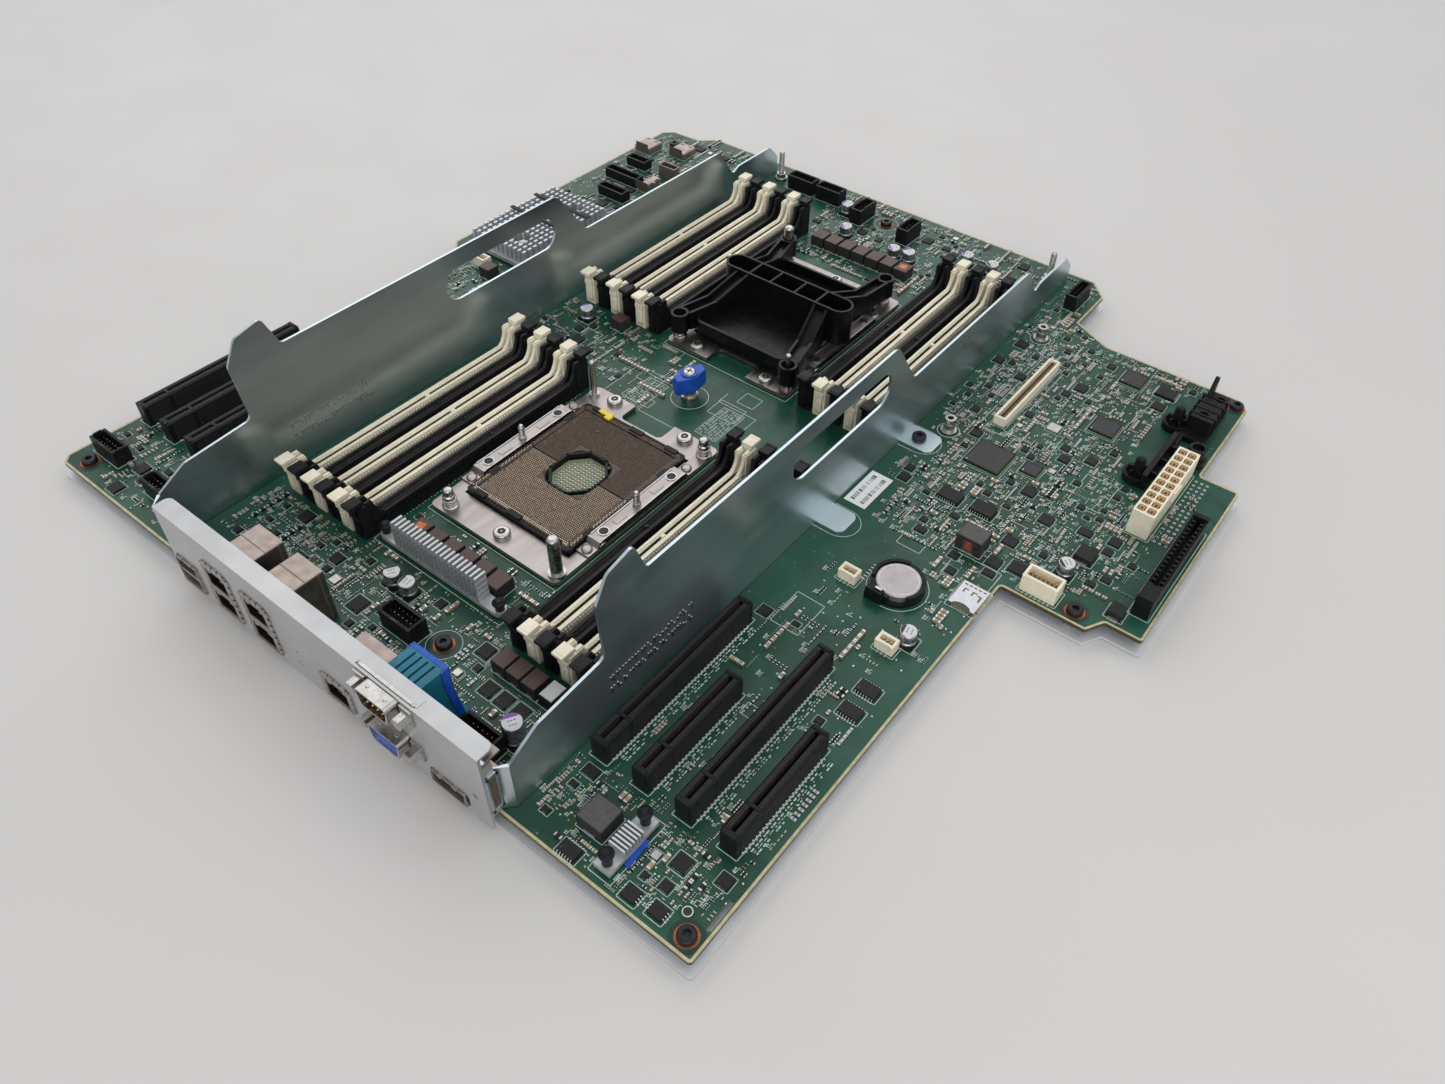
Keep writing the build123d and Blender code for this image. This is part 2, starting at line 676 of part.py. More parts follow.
# ---- plastic cover over the second socket: base tray, centre bar and four legs ----
cover_z = plate_top + 4.2
cover_base_w = 60.0
cover_base_l = 82.0
cover_base_y = cpu_2_y - 4.0
cover_base_t = 1.6
cover_rim_h = 7.0
cover_rim_w = 1.5
bar_l = 82.0
bar_w = 14.0
bar_wall = 1.2
bar_top = board_top + 27.0
leg_top = board_top + 17.5
column_r = 4.9
column_hole_r = 3.5
leg_feet = [(-36.3, -48.6), (36.3, -49.5), (31.2, 51), (-36.3, 51)]
leg_channel = 6.0
leg_wall = 1.4
leg_stop = 3.6
leg_channel_drop = 3.0
leg_root_x = 26.0
leg_root_in = 1.0
leg_slope_share = 0.5
with BuildPart() as cpu_2_cover:
    with BuildSketch(Plane.XY.offset(cover_z)):
        with Locations((cpu_x, cover_base_y)):
            RectangleRounded(cover_base_w, cover_base_l, 5)
    extrude(amount=cover_base_t)
    # upright rim of the base
    with BuildSketch(Plane.XY.offset(cover_z)):
        with Locations((cpu_x, cover_base_y)):
            RectangleRounded(cover_base_w, cover_base_l, 5)
            RectangleRounded(cover_base_w - 2 * cover_rim_w, cover_base_l - 2 * cover_rim_w, 4,
                             mode=Mode.SUBTRACT)
    extrude(amount=cover_rim_h)
    # centre bar: a round-ended open channel
    with BuildSketch(Plane.XY.offset(cover_z)):
        with Locations((cpu_x, cpu_2_y)):
            SlotOverall(bar_l, bar_w)
            SlotOverall(bar_l - 2 * bar_wall, bar_w - 2 * bar_wall, mode=Mode.SUBTRACT)
    extrude(amount=bar_top - cover_z)
    with BuildSketch(Plane.XY.offset(cover_z)):
        with Locations((cpu_x, cpu_2_y)):
            with Locations((-22, 0), (-8, 0), (8, 0), (22, 0)):
                Rectangle(bar_wall, bar_w - 2)
    extrude(amount=bar_top - cover_z)
    # legs: two thin walls that slope down from the bar, then run level to a hollow column
    for foot_x, foot_y in leg_feet:
        root_x = math.copysign(leg_root_x, foot_x)
        root_y = math.copysign(bar_w / 2 - bar_wall / 2, foot_y)
        reach = math.dist((root_x, root_y), (foot_x, foot_y))
        along = ((foot_x - root_x) / reach, (foot_y - root_y) / reach)
        # the two walls, then the web between them, which stands lower
        for side, web_w, drop in ((-1, leg_wall, 0), (1, leg_wall, 0),
                                  (0, leg_channel, leg_channel_drop)):
            offset_x = -side * along[1] * (leg_channel + leg_wall) / 2
            offset_y = side * along[0] * (leg_channel + leg_wall) / 2
            wall_origin = (cpu_x + root_x + offset_x, cpu_2_y + root_y + offset_y, 0)
            wall_plane = Plane(origin=wall_origin, x_dir=(*along, 0),
                               z_dir=(along[1], -along[0], 0))
            with BuildSketch(wall_plane):
                with BuildLine():
                    Polyline((-leg_root_in, cover_z), (reach - leg_stop, cover_z),
                             (reach - leg_stop, leg_top - drop),
                             (reach * leg_slope_share, leg_top - drop),
                             (-leg_root_in, bar_top - 0.4 - drop), close=True)
                make_face()
            extrude(amount=web_w / 2, both=True)
        with BuildSketch(Plane.XY.offset(cover_z)):
            with Locations((cpu_x + foot_x, cpu_2_y + foot_y)):
                Circle(column_r)
        extrude(amount=leg_top - cover_z)
    with BuildSketch(Plane.XY.offset(cover_z)):
        for foot_x, foot_y in leg_feet:
            with Locations((cpu_x + foot_x, cpu_2_y + foot_y)):
                Circle(column_hole_r)
    extrude(amount=leg_top - cover_z, mode=Mode.SUBTRACT)
cpu_2_cover.part.label = "cpu_2_cover"
export_step(cpu_2_cover.part, "parts/cpu_2_cover.step")


# ---- memory sockets ----
near_y = -174.0
groups = {
    "near_left": (-123.6, near_y, "ivory"),
    "far_left": (-126.1, 26.4, "ivory"),
    "near_right": (22.8, near_y - 0.6, "black"),
    "far_right": (22.8, 24.8, "black"),
}


def socket_xs(group, colour):
    """Left edges of the three sockets of one colour in a group of six."""
    first_x, _, first_colour = groups[group]
    start = 0 if colour == first_colour else 1
    return [first_x + dimm_pitch * (start + 2 * i) for i in range(dimm_count)]


with BuildPart() as dimm_body:
    with BuildSketch(Plane.XY.offset(board_top)):
        with Locations((dimm_w / 2, dimm_l / 2)):
            Rectangle(dimm_w, dimm_l)
    extrude(amount=rail_step_h)
    with BuildSketch(Plane.XY.offset(board_top + rail_step_h)):
        with Locations((dimm_w / 2, dimm_l / 2)):
            Rectangle(dimm_w - rail_step_w, dimm_l)
    extrude(amount=rail_h - rail_step_h)
    for tower_y in (tower_l / 2, dimm_l - tower_l / 2):
        with BuildSketch(Plane.XY.offset(board_top)):
            with Locations((dimm_w / 2, tower_y)):
                Rectangle(dimm_w, tower_l)
        extrude(amount=tower_h)
    # card slot with its key bridge, and the card guides in the towers
    key_y = dimm_l * key_share
    for low_y, high_y in ((pocket_l, key_y - key_half), (key_y + key_half, dimm_l - pocket_l)):
        with BuildSketch(Plane.XY.offset(board_top + card_slot_floor)):
            with Locations((dimm_w / 2, (low_y + high_y) / 2)):
                Rectangle(card_slot_w, high_y - low_y)
        extrude(amount=tower_h, mode=Mode.SUBTRACT)
    # pockets that hold the latches, open outwards and upwards
    for pocket_y in (pocket_l / 2, dimm_l - pocket_l / 2):
        with BuildSketch(Plane.XY.offset(board_top + pocket_floor)):
            with Locations((dimm_w / 2, pocket_y)):
                Rectangle(latch_w + 2 * latch_gap, pocket_l)
        extrude(amount=tower_h, mode=Mode.SUBTRACT)


def dimm_sockets(colour):
    """All twelve sockets of one colour, three in each group."""
    with BuildPart() as row:
        for group in groups:
            group_y = groups[group][1]
            with Locations(*[(left_x, group_y, 0) for left_x in socket_xs(group, colour)]):
                add(dimm_body.part)
    return row


ivory_dimm_sockets = dimm_sockets("ivory")
black_dimm_sockets = dimm_sockets("black")
ivory_dimm_sockets.part.label = "ivory_dimm_sockets"
export_step(ivory_dimm_sockets.part, "parts/ivory_dimm_sockets.step")
black_dimm_sockets.part.label = "black_dimm_sockets"
export_step(black_dimm_sockets.part, "parts/black_dimm_sockets.step")


def latch_row(group, colour, end):
    """Three latches on one hinge line; end is -1 at the rear end, +1 at the far end."""
    outer_y = groups[group][1] if end < 0 else groups[group][1] + dimm_l
    face = outer_y + end * 0.4
    pivot_y = outer_y - end * 1.3
    pivot_z = board_top + latch_pivot_h
    foot_r = 2.4
    inner = pivot_y - end * foot_r
    with BuildPart() as row:
        for left_x in socket_xs(group, colour):
            mid_x = left_x + dimm_w / 2
            # waisted body, widest at the foot and below the thumb tab
            with BuildSketch(Plane.YZ.offset(mid_x - latch_w / 2)):
                with BuildLine():
                    Polyline((inner, pivot_z), (pivot_y + end * foot_r, pivot_z),
                             (face + end * 0.6, board_top + 8), (face - end * 0.2, board_top + 12),
                             (face + end * 1.0, board_top + 17),
                             (face + end * 1.6, board_top + latch_top),
                             (inner, board_top + latch_top), close=True)
                make_face()
                with Locations((pivot_y, pivot_z)):
                    Circle(foot_r)
            extrude(amount=latch_w)
            # thumb tab above the tower
            with BuildSketch(Plane.XY.offset(board_top + tower_h + cap_lift)):
                with Locations((mid_x, outer_y - end * 0.6)):
                    Rectangle(dimm_w - 1.0, 6.0)
            extrude(amount=latch_top - tower_h - cap_lift)
            with BuildSketch(Plane.XY.offset(board_top + latch_top - tab_t)):
                with Locations((mid_x, outer_y + end * 2.0)):
                    Rectangle(tab_w, 3.6)
            extrude(amount=tab_t)
    return row


for group_name in groups:
    for colour_name in ("ivory", "black"):
        for end_name, end_sign in (("rear", -1), ("far", 1)):
            row_name = "latches_" + group_name + "_" + colour_name + "_" + end_name
            latch_set = latch_row(group_name, colour_name, end_sign)
            latch_set.part.label = row_name
            export_step(latch_set.part, "parts/" + row_name + ".step")


# ---- expansion slots ----
def pcie_slot(length):
    with BuildPart() as slot:
        with BuildSketch(Plane.XY.offset(board_top)):
            with Locations((0, length / 2)):
                Rectangle(pcie_w, length)
        extrude(amount=pcie_h)
        chamfer(slot.faces().sort_by(Axis.Z)[-1].edges().filter_by(Axis.Y), length=0.6)
        with BuildSketch(Plane.XY.offset(board_top + pcie_h)):
            with Locations((0, 8.0)):
                Rectangle(2.0, 11.2)
            with Locations((0, (15.2 + length - 2.4) / 2)):
                Rectangle(2.0, length - 2.4 - 15.2)
        extrude(amount=-7.6, mode=Mode.SUBTRACT)
    return slot.part


x16_slot = pcie_slot(pcie_x16)
x8_slot = pcie_slot(pcie_x8)
right_bank = [(87.6 + pcie_pitch * i, -192) for i in range(4)]
left_bank = [(-218.0 + pcie_pitch * i, -190) for i in range(3)]
with BuildPart() as pcie_slots:
    with Locations(right_bank[0], right_bank[2], left_bank[0], left_bank[2]):
        add(x16_slot)
    with Locations(right_bank[1], right_bank[3], left_bank[1]):
        add(x8_slot)
pcie_slots.part.label = "pcie_slots"
export_step(pcie_slots.part, "parts/pcie_slots.step")


# ---- heatsinks ----
vrm_sink = (-28.4, -166.2)
vrm_base_l = 77.0
vrm_base_w = 6.4
vrm_base_t = 2.2
vrm_pin_reach = 36.0
fin_count = 21
fin_pitch = 2.6
fin_t = 1.0
fin_depth = 6.0
fin_h = 16.0
small_sink = (119.7, -212.2)
small_sink_w = 7.4
small_sink_l = 26.0
small_fin_count = 7
small_fin_pitch = 1.6
small_fin_t = 0.7
small_fin_h = 6.0
small_pin_reach = 9.9
sink_pad_t = 1.0
with BuildPart() as finned_heatsinks:
    with BuildSketch(Plane.XY.offset(board_top + sink_pad_t)):
        with Locations(vrm_sink):
            Rectangle(fin_count * fin_pitch, fin_depth)
            RectangleRounded(vrm_base_l, vrm_base_w, 3.1)
        with Locations(small_sink):
            Rectangle(small_sink_w, small_sink_l)
    extrude(amount=vrm_base_t)
    with BuildSketch(Plane.XY.offset(board_top + sink_pad_t)):
        with Locations(vrm_sink):
            with GridLocations(fin_pitch, 1, fin_count, 1):
                Rectangle(fin_t, fin_depth)
    extrude(amount=fin_h)
    with BuildSketch(Plane.XY.offset(board_top + sink_pad_t)):
        with Locations(small_sink):
            with GridLocations(1, small_fin_pitch, 1, small_fin_count):
                Rectangle(small_sink_w, small_fin_t)
    extrude(amount=small_fin_h)
finned_heatsinks.part.label = "finned_heatsinks"
export_step(finned_heatsinks.part, "parts/finned_heatsinks.step")

pin_sink = (-197.7, 60.9)
pin_sink_w = 47.0
pin_sink_l = 73.6
pin_sink_base_t = 2.4
pin_sink_pin_h = 7.6
pin_sink_pitch = (3.8, 4.4)
pin_sink_count = (12, 16)
pin_hole_clear_r = 4.6
pin_hole_r = 1.9
pin_holes = [(-189.2, 84.5), (-189.2, 38.6)]
pin_sink_z = board_top + sink_pad_t
with BuildPart() as pin_fin_heatsink:
    with BuildSketch(Plane.XY.offset(pin_sink_z)):
        with Locations(pin_sink):
            Rectangle(pin_sink_w, pin_sink_l)
    extrude(amount=pin_sink_base_t)
    with BuildSketch(Plane.XY.offset(pin_sink_z + pin_sink_base_t)):
        with Locations(pin_sink):
            with GridLocations(*pin_sink_pitch, *pin_sink_count):
                Rectangle(1.6, 2.8)
        with Locations(*pin_holes):
            Circle(pin_hole_clear_r, mode=Mode.SUBTRACT)
    extrude(amount=pin_sink_pin_h)
    with BuildSketch(Plane.XY.offset(pin_sink_z + pin_sink_base_t)):
        with Locations(*pin_holes):
            Circle(pin_hole_r)
    extrude(amount=-pin_sink_base_t, mode=Mode.SUBTRACT)
pin_fin_heatsink.part.label = "pin_fin_heatsink"
export_step(pin_fin_heatsink.part, "parts/pin_fin_heatsink.step")

# push pins: (x, y, height of the seat, length of the shank)
sink_seat = sink_pad_t + vrm_base_t
pin_head_t = 2.0
pin_head_r = 3.0
pin_shank_r = 2.0
push_pin_spots = [(vrm_sink[0] - vrm_pin_reach, vrm_sink[1], sink_seat, 3.6),
                  (vrm_sink[0] + vrm_pin_reach, vrm_sink[1], sink_seat, 3.6),
                  (small_sink[0], small_sink[1] - small_pin_reach, sink_seat, 5.6),
                  (small_sink[0], small_sink[1] + small_pin_reach, sink_seat, 5.6),
                  (*pin_holes[0], sink_pad_t + pin_sink_base_t, 3.4),
                  (*pin_holes[1], sink_pad_t + pin_sink_base_t, 3.4)]
with BuildPart() as push_pins:
    for pin_x, pin_y, seat, shank_h in push_pin_spots:
        with BuildSketch(Plane.XY.offset(board_top + seat)):
            with Locations((pin_x, pin_y)):
                Circle(pin_shank_r)
        extrude(amount=shank_h)
        with BuildSketch(Plane.XY.offset(board_top + seat + shank_h)):
            with Locations((pin_x, pin_y)):
                Circle(pin_head_r)
        extrude(amount=pin_head_t)
push_pins.part.label = "push_pins"
export_step(push_pins.part, "parts/push_pins.step")


# ---- power parts ----
near_choke_first = (-52.5, -157.0)
near_choke_pitch = 9.94
far_choke_first = (-58.6, 163.0)
far_choke_pitch = 9.8
trio_choke_first = (30.0, -184.2)
trio_choke_pitch = 8.4
choke_w = 8.4
choke_l = 9.6
choke_h = 6.5
wound_h = 8.2
with BuildPart() as chokes:
    with BuildSketch(Plane.XY.offset(board_top)):
        for i in range(6):
            with Locations((near_choke_first[0] + near_choke_pitch * i, near_choke_first[1])):
                Rectangle(choke_w, choke_l)
        for i in range(7):
            with Locations((far_choke_first[0] + far_choke_pitch * i, far_choke_first[1])):
                Rectangle(choke_w, choke_l)
        for i in range(3):
            with Locations((trio_choke_first[0] + trio_choke_pitch * i, trio_choke_first[1])):
                Rectangle(7.4, 8.8)
        with Locations((-93.1, 18.8)):
            Rectangle(8, 7.4)
        with Locations((-187.5, 9)):
            Rectangle(8, 8)
        # inductor beside the small heatsink
        with Locations((106, -211.1)):
            Rectangle(12, 11.6)
    extrude(amount=choke_h)
    # wound inductor on the slot side
    with BuildSketch(Plane.XY.offset(board_top)):
        with Locations((142, -6.9)):
            Rectangle(12.5, 10)
    extrude(amount=wound_h)
chokes.part.label = "chokes"
export_step(chokes.part, "parts/chokes.step")

small_caps = [(-40.4, -182.5), (-31, -182.4), (-66.4, 203.6), (-51.8, 180.1), (-15.2, 177.2),
              (-5.7, 179), (23.2, 199), (39.8, 198.8), (-113.2, 13.4), (148.2, -72.6), (182, 3.5)]
cap_seat = 8.2
cap_seat_t = 1.2
cap_r = 3.9
cap_can_h = 6.4
tall_cap = (57.5, -205.8)
tall_cap_r = 4.4
tall_cap_h = 12.0
cap_edge_r = 0.6
with BuildPart() as capacitors:
    for cap_x, cap_y in small_caps:
        with BuildSketch(Plane.XY.offset(board_top)):
            with Locations((cap_x, cap_y)):
                Rectangle(cap_seat, cap_seat)
        extrude(amount=cap_seat_t)
        with BuildSketch(Plane.XY.offset(board_top + cap_seat_t)):
            with Locations((cap_x, cap_y)):
                Circle(cap_r)
        extrude(amount=cap_can_h)
    with BuildSketch(Plane.XY.offset(board_top)):
        with Locations(tall_cap):
            Circle(tall_cap_r)
    extrude(amount=tall_cap_h)
    fillet(capacitors.faces().filter_by(Axis.Z).group_by(Axis.Z)[-1].edges(), radius=cap_edge_r)
    fillet(capacitors.faces().filter_by(Axis.Z).group_by(Axis.Z)[-2].edges(), radius=cap_edge_r)
capacitors.part.label = "capacitors"
export_step(capacitors.part, "parts/capacitors.step")


# ---- connectors on the slot side ----
power_spot = (197.0, 73.5)
power_h = 14.0
power_w = 10.2
power_l = 55.0
power_cavity = (3.8, 4.5)
power_pitch = (4.6, 5.35)
power_cavity_h = 10.0
edge_spot = (217.6, 33.5)
edge_h = 10.0
edge_w = 7.4
edge_l = 65.0
edge_slot_l = 52.0
edge_slot_h = 7.0
with BuildPart() as power_connector:
    with BuildSketch(Plane.XY.offset(board_top)):
        with Locations(power_spot):
            Rectangle(power_w, power_l)
    extrude(amount=power_h)
    with BuildSketch(Plane.XY.offset(board_top + power_h)):
        with Locations(power_spot):
            with GridLocations(*power_pitch, 2, 10):
                RectangleRounded(*power_cavity, 0.8)
    extrude(amount=-power_cavity_h, mode=Mode.SUBTRACT)
power_connector.part.label = "power_connector"
export_step(power_connector.part, "parts/power_connector.step")

with BuildPart() as edge_connector:
    with BuildSketch(Plane.XY.offset(board_top)):
        with Locations(edge_spot):
            Rectangle(edge_w, edge_l)
    extrude(amount=edge_h)
    with BuildSketch(Plane.XY.offset(board_top + edge_h)):
        with Locations((edge_spot[0], edge_spot[1] + 4.5)):
            Rectangle(2.4, edge_slot_l)
            with GridLocations(1, 3.2, 1, 16):
                Rectangle(5.4, 1.9)
    extrude(amount=-edge_slot_h, mode=Mode.SUBTRACT)
edge_connector.part.label = "edge_connector"
export_step(edge_connector.part, "parts/edge_connector.step")

guide_pegs = [(181, 83), (181, 132)]
guide_ring = (198.6, 112)
guide_base_h = 3.0
guide_box_h = 12.0
guide_rib_h = 8.0
guide_peg_h = 8.5
guide_ring_h = 4.0
with BuildPart() as cable_guide:
    with BuildSketch(Plane.XY.offset(board_top)):
        with Locations((185.5, 101)):
            Rectangle(5, 48)
        with Locations((190.5, 141)):
            Rectangle(15, 34)
        with Locations(*guide_pegs):
            Circle(6.5)
        with Locations(guide_ring):
            Circle(5.6)
        with Locations((192, 112)):
            Rectangle(13, 6)
    extrude(amount=guide_base_h)
    with BuildSketch(Plane.XY.offset(board_top)):
        with Locations((192, 143)):
            Rectangle(11, 26)
    extrude(amount=guide_box_h)
    with BuildSketch(Plane.XY.offset(board_top)):
        with Locations((185.5, 98)):
            Rectangle(2.4, 40)
    extrude(amount=guide_rib_h)
    with BuildSketch(Plane.XY.offset(board_top + guide_base_h)):
        with Locations(*guide_pegs):
            Circle(2.6)
    extrude(amount=guide_peg_h)
    with BuildSketch(Plane.XY.offset(board_top + guide_base_h)):
        with Locations(guide_ring):
            Circle(4.0)
    extrude(amount=guide_ring_h)
    # upright fin at the far end
    with BuildSketch(Plane.YZ.offset(187)):
        with BuildLine():
            Polyline((150, board_top + 2), (157.8, board_top + 2), (157.8, board_top + 20),
                     (155.5, board_top + 21), (150, board_top + 11), close=True)
        make_face()
    extrude(amount=2)
    with BuildSketch(Plane.XY.offset(board_top + guide_box_h)):
        with Locations((194, 151), (191.5, 134.5)):
            Circle(2.4)
    extrude(amount=guide_base_h - guide_box_h, mode=Mode.SUBTRACT)
cable_guide.part.label = "cable_guide"
export_step(cable_guide.part, "parts/cable_guide.step")

holder_wall = 1.9
holder_h = 4.6
holder_seat_h = 1.6
battery_edge_r = 0.5
with BuildPart() as battery_holder:
    with BuildSketch(Plane.XY.offset(board_top)):
        with Locations(battery_spot):
            Circle(battery_r + holder_wall)
        with Locations((battery_spot[0] - 4.6, battery_spot[1] - 10.6)):
            Rectangle(8.4, 6)
    extrude(amount=holder_h)
    with BuildSketch(Plane.XY.offset(board_top + holder_h)):
        with Locations(battery_spot):
            Circle(battery_r + gap)
        with Locations((battery_spot[0] + 5, battery_spot[1] - 9)):
            Rectangle(7, 8)
    extrude(amount=holder_seat_h - holder_h, mode=Mode.SUBTRACT)
battery_holder.part.label = "battery_holder"
export_step(battery_holder.part, "parts/battery_holder.step")

with BuildPart() as coin_battery:
    with BuildSketch(Plane.XY.offset(board_top + holder_seat_h + gap / 3)):
        with Locations(battery_spot):
            Circle(battery_r)
    extrude(amount=battery_h)
    fillet(coin_battery.faces().sort_by(Axis.Z)[-1].edges(), radius=battery_edge_r)
coin_battery.part.label = "coin_battery"
export_step(coin_battery.part, "parts/coin_battery.step")

reader_h = 1.8
cage_h = 4.4
with BuildPart() as card_cages:
    with BuildSketch(Plane.XY.offset(board_top)):
        with Locations((156.6, -35.8)):
            Rectangle(12.6, 15)
    extrude(amount=reader_h)
    with BuildSketch(Plane.XY.offset(board_top)):
        with Locations((-222.5, 189.6), (-199.4, 198.4)):
            Rectangle(13, 13)
        with Locations((-186.3, 149)):
            Rectangle(6, 14.6)
    extrude(amount=cage_h)
    fillet(card_cages.faces().filter_by(Axis.Z).group_by(Axis.Z)[-1].edges()
           .filter_by(Axis.Y), radius=1.2)
card_cages.part.label = "card_cages"
export_step(card_cages.part, "parts/card_cages.step")


# ---- cable headers ----
header_wall = 1.2


def box_header(spot, size_x, size_y, height, depth):
    """Open-topped plastic header."""
    with BuildPart() as header:
        with BuildSketch(Plane.XY.offset(board_top)):
            with Locations(spot):
                Rectangle(size_x, size_y)
        extrude(amount=height)
        with BuildSketch(Plane.XY.offset(board_top + height)):
            with Locations(spot):
                Rectangle(size_x - 2 * header_wall, size_y - 2 * header_wall)
        extrude(amount=-depth, mode=Mode.SUBTRACT)
    return header.part


ivory_header_sizes = [((109.7, -57.5), 8.6, 5.6, 5.4, 3.6), ((143.1, -80.3), 8.6, 5.6, 5.4, 3.6),
                      ((178.6, -12.4), 16.4, 8.4, 9.2, 7), ((-199, 14.3), 9, 6, 6, 3.6),
                      ((110.7, 107.3), 6.4, 62, 5, 3)]
ivory_header_solids = [box_header(spot, size_x, size_y, height, depth)
                       for spot, size_x, size_y, height, depth in ivory_header_sizes]
with BuildPart() as ivory_headers:
    for header_solid in ivory_header_solids:
        add(header_solid)
ivory_headers.part.label = "ivory_headers"
export_step(ivory_headers.part, "parts/ivory_headers.step")

black_header_sizes = [((-17.3, -196), 19, 9.2, 9), ((48.6, -214.3), 19, 7.4, 9),
                      ((-106.5, 211.8), 19, 9, 9), ((-84.8, 211.8), 18, 9, 9),
                      ((-56, 205.4), 8, 18, 9.5), ((-20.6, 203), 8, 17, 9.5),
                      ((92.5, 204.4), 7, 20, 9), ((-208.6, -212.4), 20, 8, 8.5),
                      ((-164.6, -213.6), 18, 8, 8.5), ((-205, 145.6), 27, 7.4, 6),
                      ((-195.7, 125.2), 21, 7.4, 6), ((-211, 167), 16, 7.4, 5.5)]
header_floor = 2.0
black_header_solids = [box_header(spot, size_x, size_y, height, height - header_floor)
                       for spot, size_x, size_y, height in black_header_sizes]
with BuildPart() as black_headers:
    for header_solid in black_header_solids:
        add(header_solid)
black_headers.part.label = "black_headers"
export_step(black_headers.part, "parts/black_headers.step")

mezzanine_spots = [(93.1, 158.1), (93.1, 56.9)]
mezzanine_flange_r = 4.2
mezzanine_flange_h = 1.4
mezzanine_r = 2.9
mezzanine_bore_r = 1.4
mezzanine_h = 6.8
with BuildPart() as mezzanine_standoffs:
    for spot in mezzanine_spots:
        with BuildSketch(Plane.XY.offset(board_top)):
            with Locations(spot):
                Circle(mezzanine_flange_r)
                Circle(mezzanine_bore_r, mode=Mode.SUBTRACT)
        extrude(amount=mezzanine_flange_h)
        with BuildSketch(Plane.XY.offset(board_top + mezzanine_flange_h)):
            with Locations(spot):
                Circle(mezzanine_r)
                Circle(mezzanine_bore_r, mode=Mode.SUBTRACT)
        extrude(amount=mezzanine_h)
mezzanine_standoffs.part.label = "mezzanine_standoffs"
export_step(mezzanine_standoffs.part, "parts/mezzanine_standoffs.step")

# ---- packaged chips: (x, y, width, length, height) ----
chip_list = [(119.6, 50.1, 19, 19, 2.0), (154, 107.7, 13, 13, 1.8), (139.7, 55.5, 9, 9, 1.6),
             (149.4, 154.1, 12, 12, 1.8), (167.5, 154.7, 10, 8, 1.6), (118.2, 15, 11, 7.6, 2.2),
             (135, 16.2, 11, 7.6, 2.2), (149.3, -103.5, 9, 6, 2.0), (149.6, -116.3, 9, 6, 2.0),
             (185, 19, 8, 9, 3.2), (209.5, -3.4, 6.4, 7, 3.2), (105.3, -226, 8, 5, 2.0),
             (132.8, -224.6, 6, 5, 1.8), (143.9, -223.6, 6, 5, 1.8), (139, -205.3, 6, 6, 1.0),
             (32.5, -196, 6, 6, 1.0), (41.1, -196, 6, 6, 1.0), (49.9, -196, 6, 6, 1.0),
             (17.6, -183.8, 6, 6, 1.0), (-42.6, -200, 7, 7, 1.0), (164.8, -6.6, 7, 7, 1.2),
             (55.5, -183.4, 7.4, 9.4, 5.2)]
with BuildPart() as chips:
    for chip_x, chip_y, chip_w, chip_l, chip_h in chip_list:
        with BuildSketch(Plane.XY.offset(board_top)):
            with Locations((chip_x, chip_y)):
                Rectangle(chip_w, chip_l)
        extrude(amount=chip_h)
chips.part.label = "chips"
export_step(chips.part, "parts/chips.step")

label_spot = (85.7, -5)
label_w = 11.6
label_l = 25.0
label_t = 0.15
with BuildPart() as board_label:
    with BuildSketch(Plane.XY.offset(board_top)):
        with Locations(label_spot):
            Rectangle(label_w, label_l)
    extrude(amount=label_t)
board_label.part.label = "board_label"
export_step(board_label.part, "parts/board_label.step")


# ---- blue wing knob on its captive base ----
knob_base_h = 6.4
knob_flange_t = 2.2
knob_turn = 82
knob_h = 9.0
knob_flange_r = 4.6
knob_neck_r = 3.4
knob_hub_r = 5.2
knob_cap_r = 3.2
knob_cap_h = 0.8
wing_outline = [(2, -4.8), (8.6, -3.4), (10.4, 1.6), (3.4, 4.6), (-2, 4.8), (-8.6, 3.4),
                (-10.4, -1.6), (-3.4, -4.6)]
with BuildPart() as knob_base:
    with BuildSketch(Plane.XY.offset(board_top)):
        with Locations(knob_spot):
            Circle(knob_flange_r)
    extrude(amount=knob_flange_t)
    with BuildSketch(Plane.XY.offset(board_top + knob_flange_t)):
        with Locations(knob_spot):
            Circle(knob_neck_r)
    extrude(amount=knob_base_h - knob_flange_t)
knob_base.part.label = "knob_base"
export_step(knob_base.part, "parts/knob_base.step")

knob_z = board_top + knob_base_h + gap
with BuildPart() as blue_knob:
    with BuildSketch(Plane.XY.offset(knob_z)):
        with Locations(Location((*knob_spot, 0), (0, 0, knob_turn))):
            Circle(knob_hub_r)
            Polygon(*wing_outline, align=None)
    extrude(amount=knob_h)
    fillet(blue_knob.faces().sort_by(Axis.Z)[-1].edges(), radius=0.6)
    with BuildSketch(Plane.XY.offset(knob_z + knob_h)):
        with Locations(knob_spot):
            Circle(knob_cap_r)
    extrude(amount=knob_cap_h)
    with BuildSketch(Plane.XY.offset(knob_z + knob_h + knob_cap_h)):
        with Locations(knob_spot):
            Rectangle(4.4, 1.0)
    extrude(amount=-1.0, mode=Mode.SUBTRACT)
blue_knob.part.label = "blue_knob"
export_step(blue_knob.part, "parts/blue_knob.step")
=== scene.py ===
import math
import random

import bpy
import numpy as np
from mathutils import Matrix, Vector


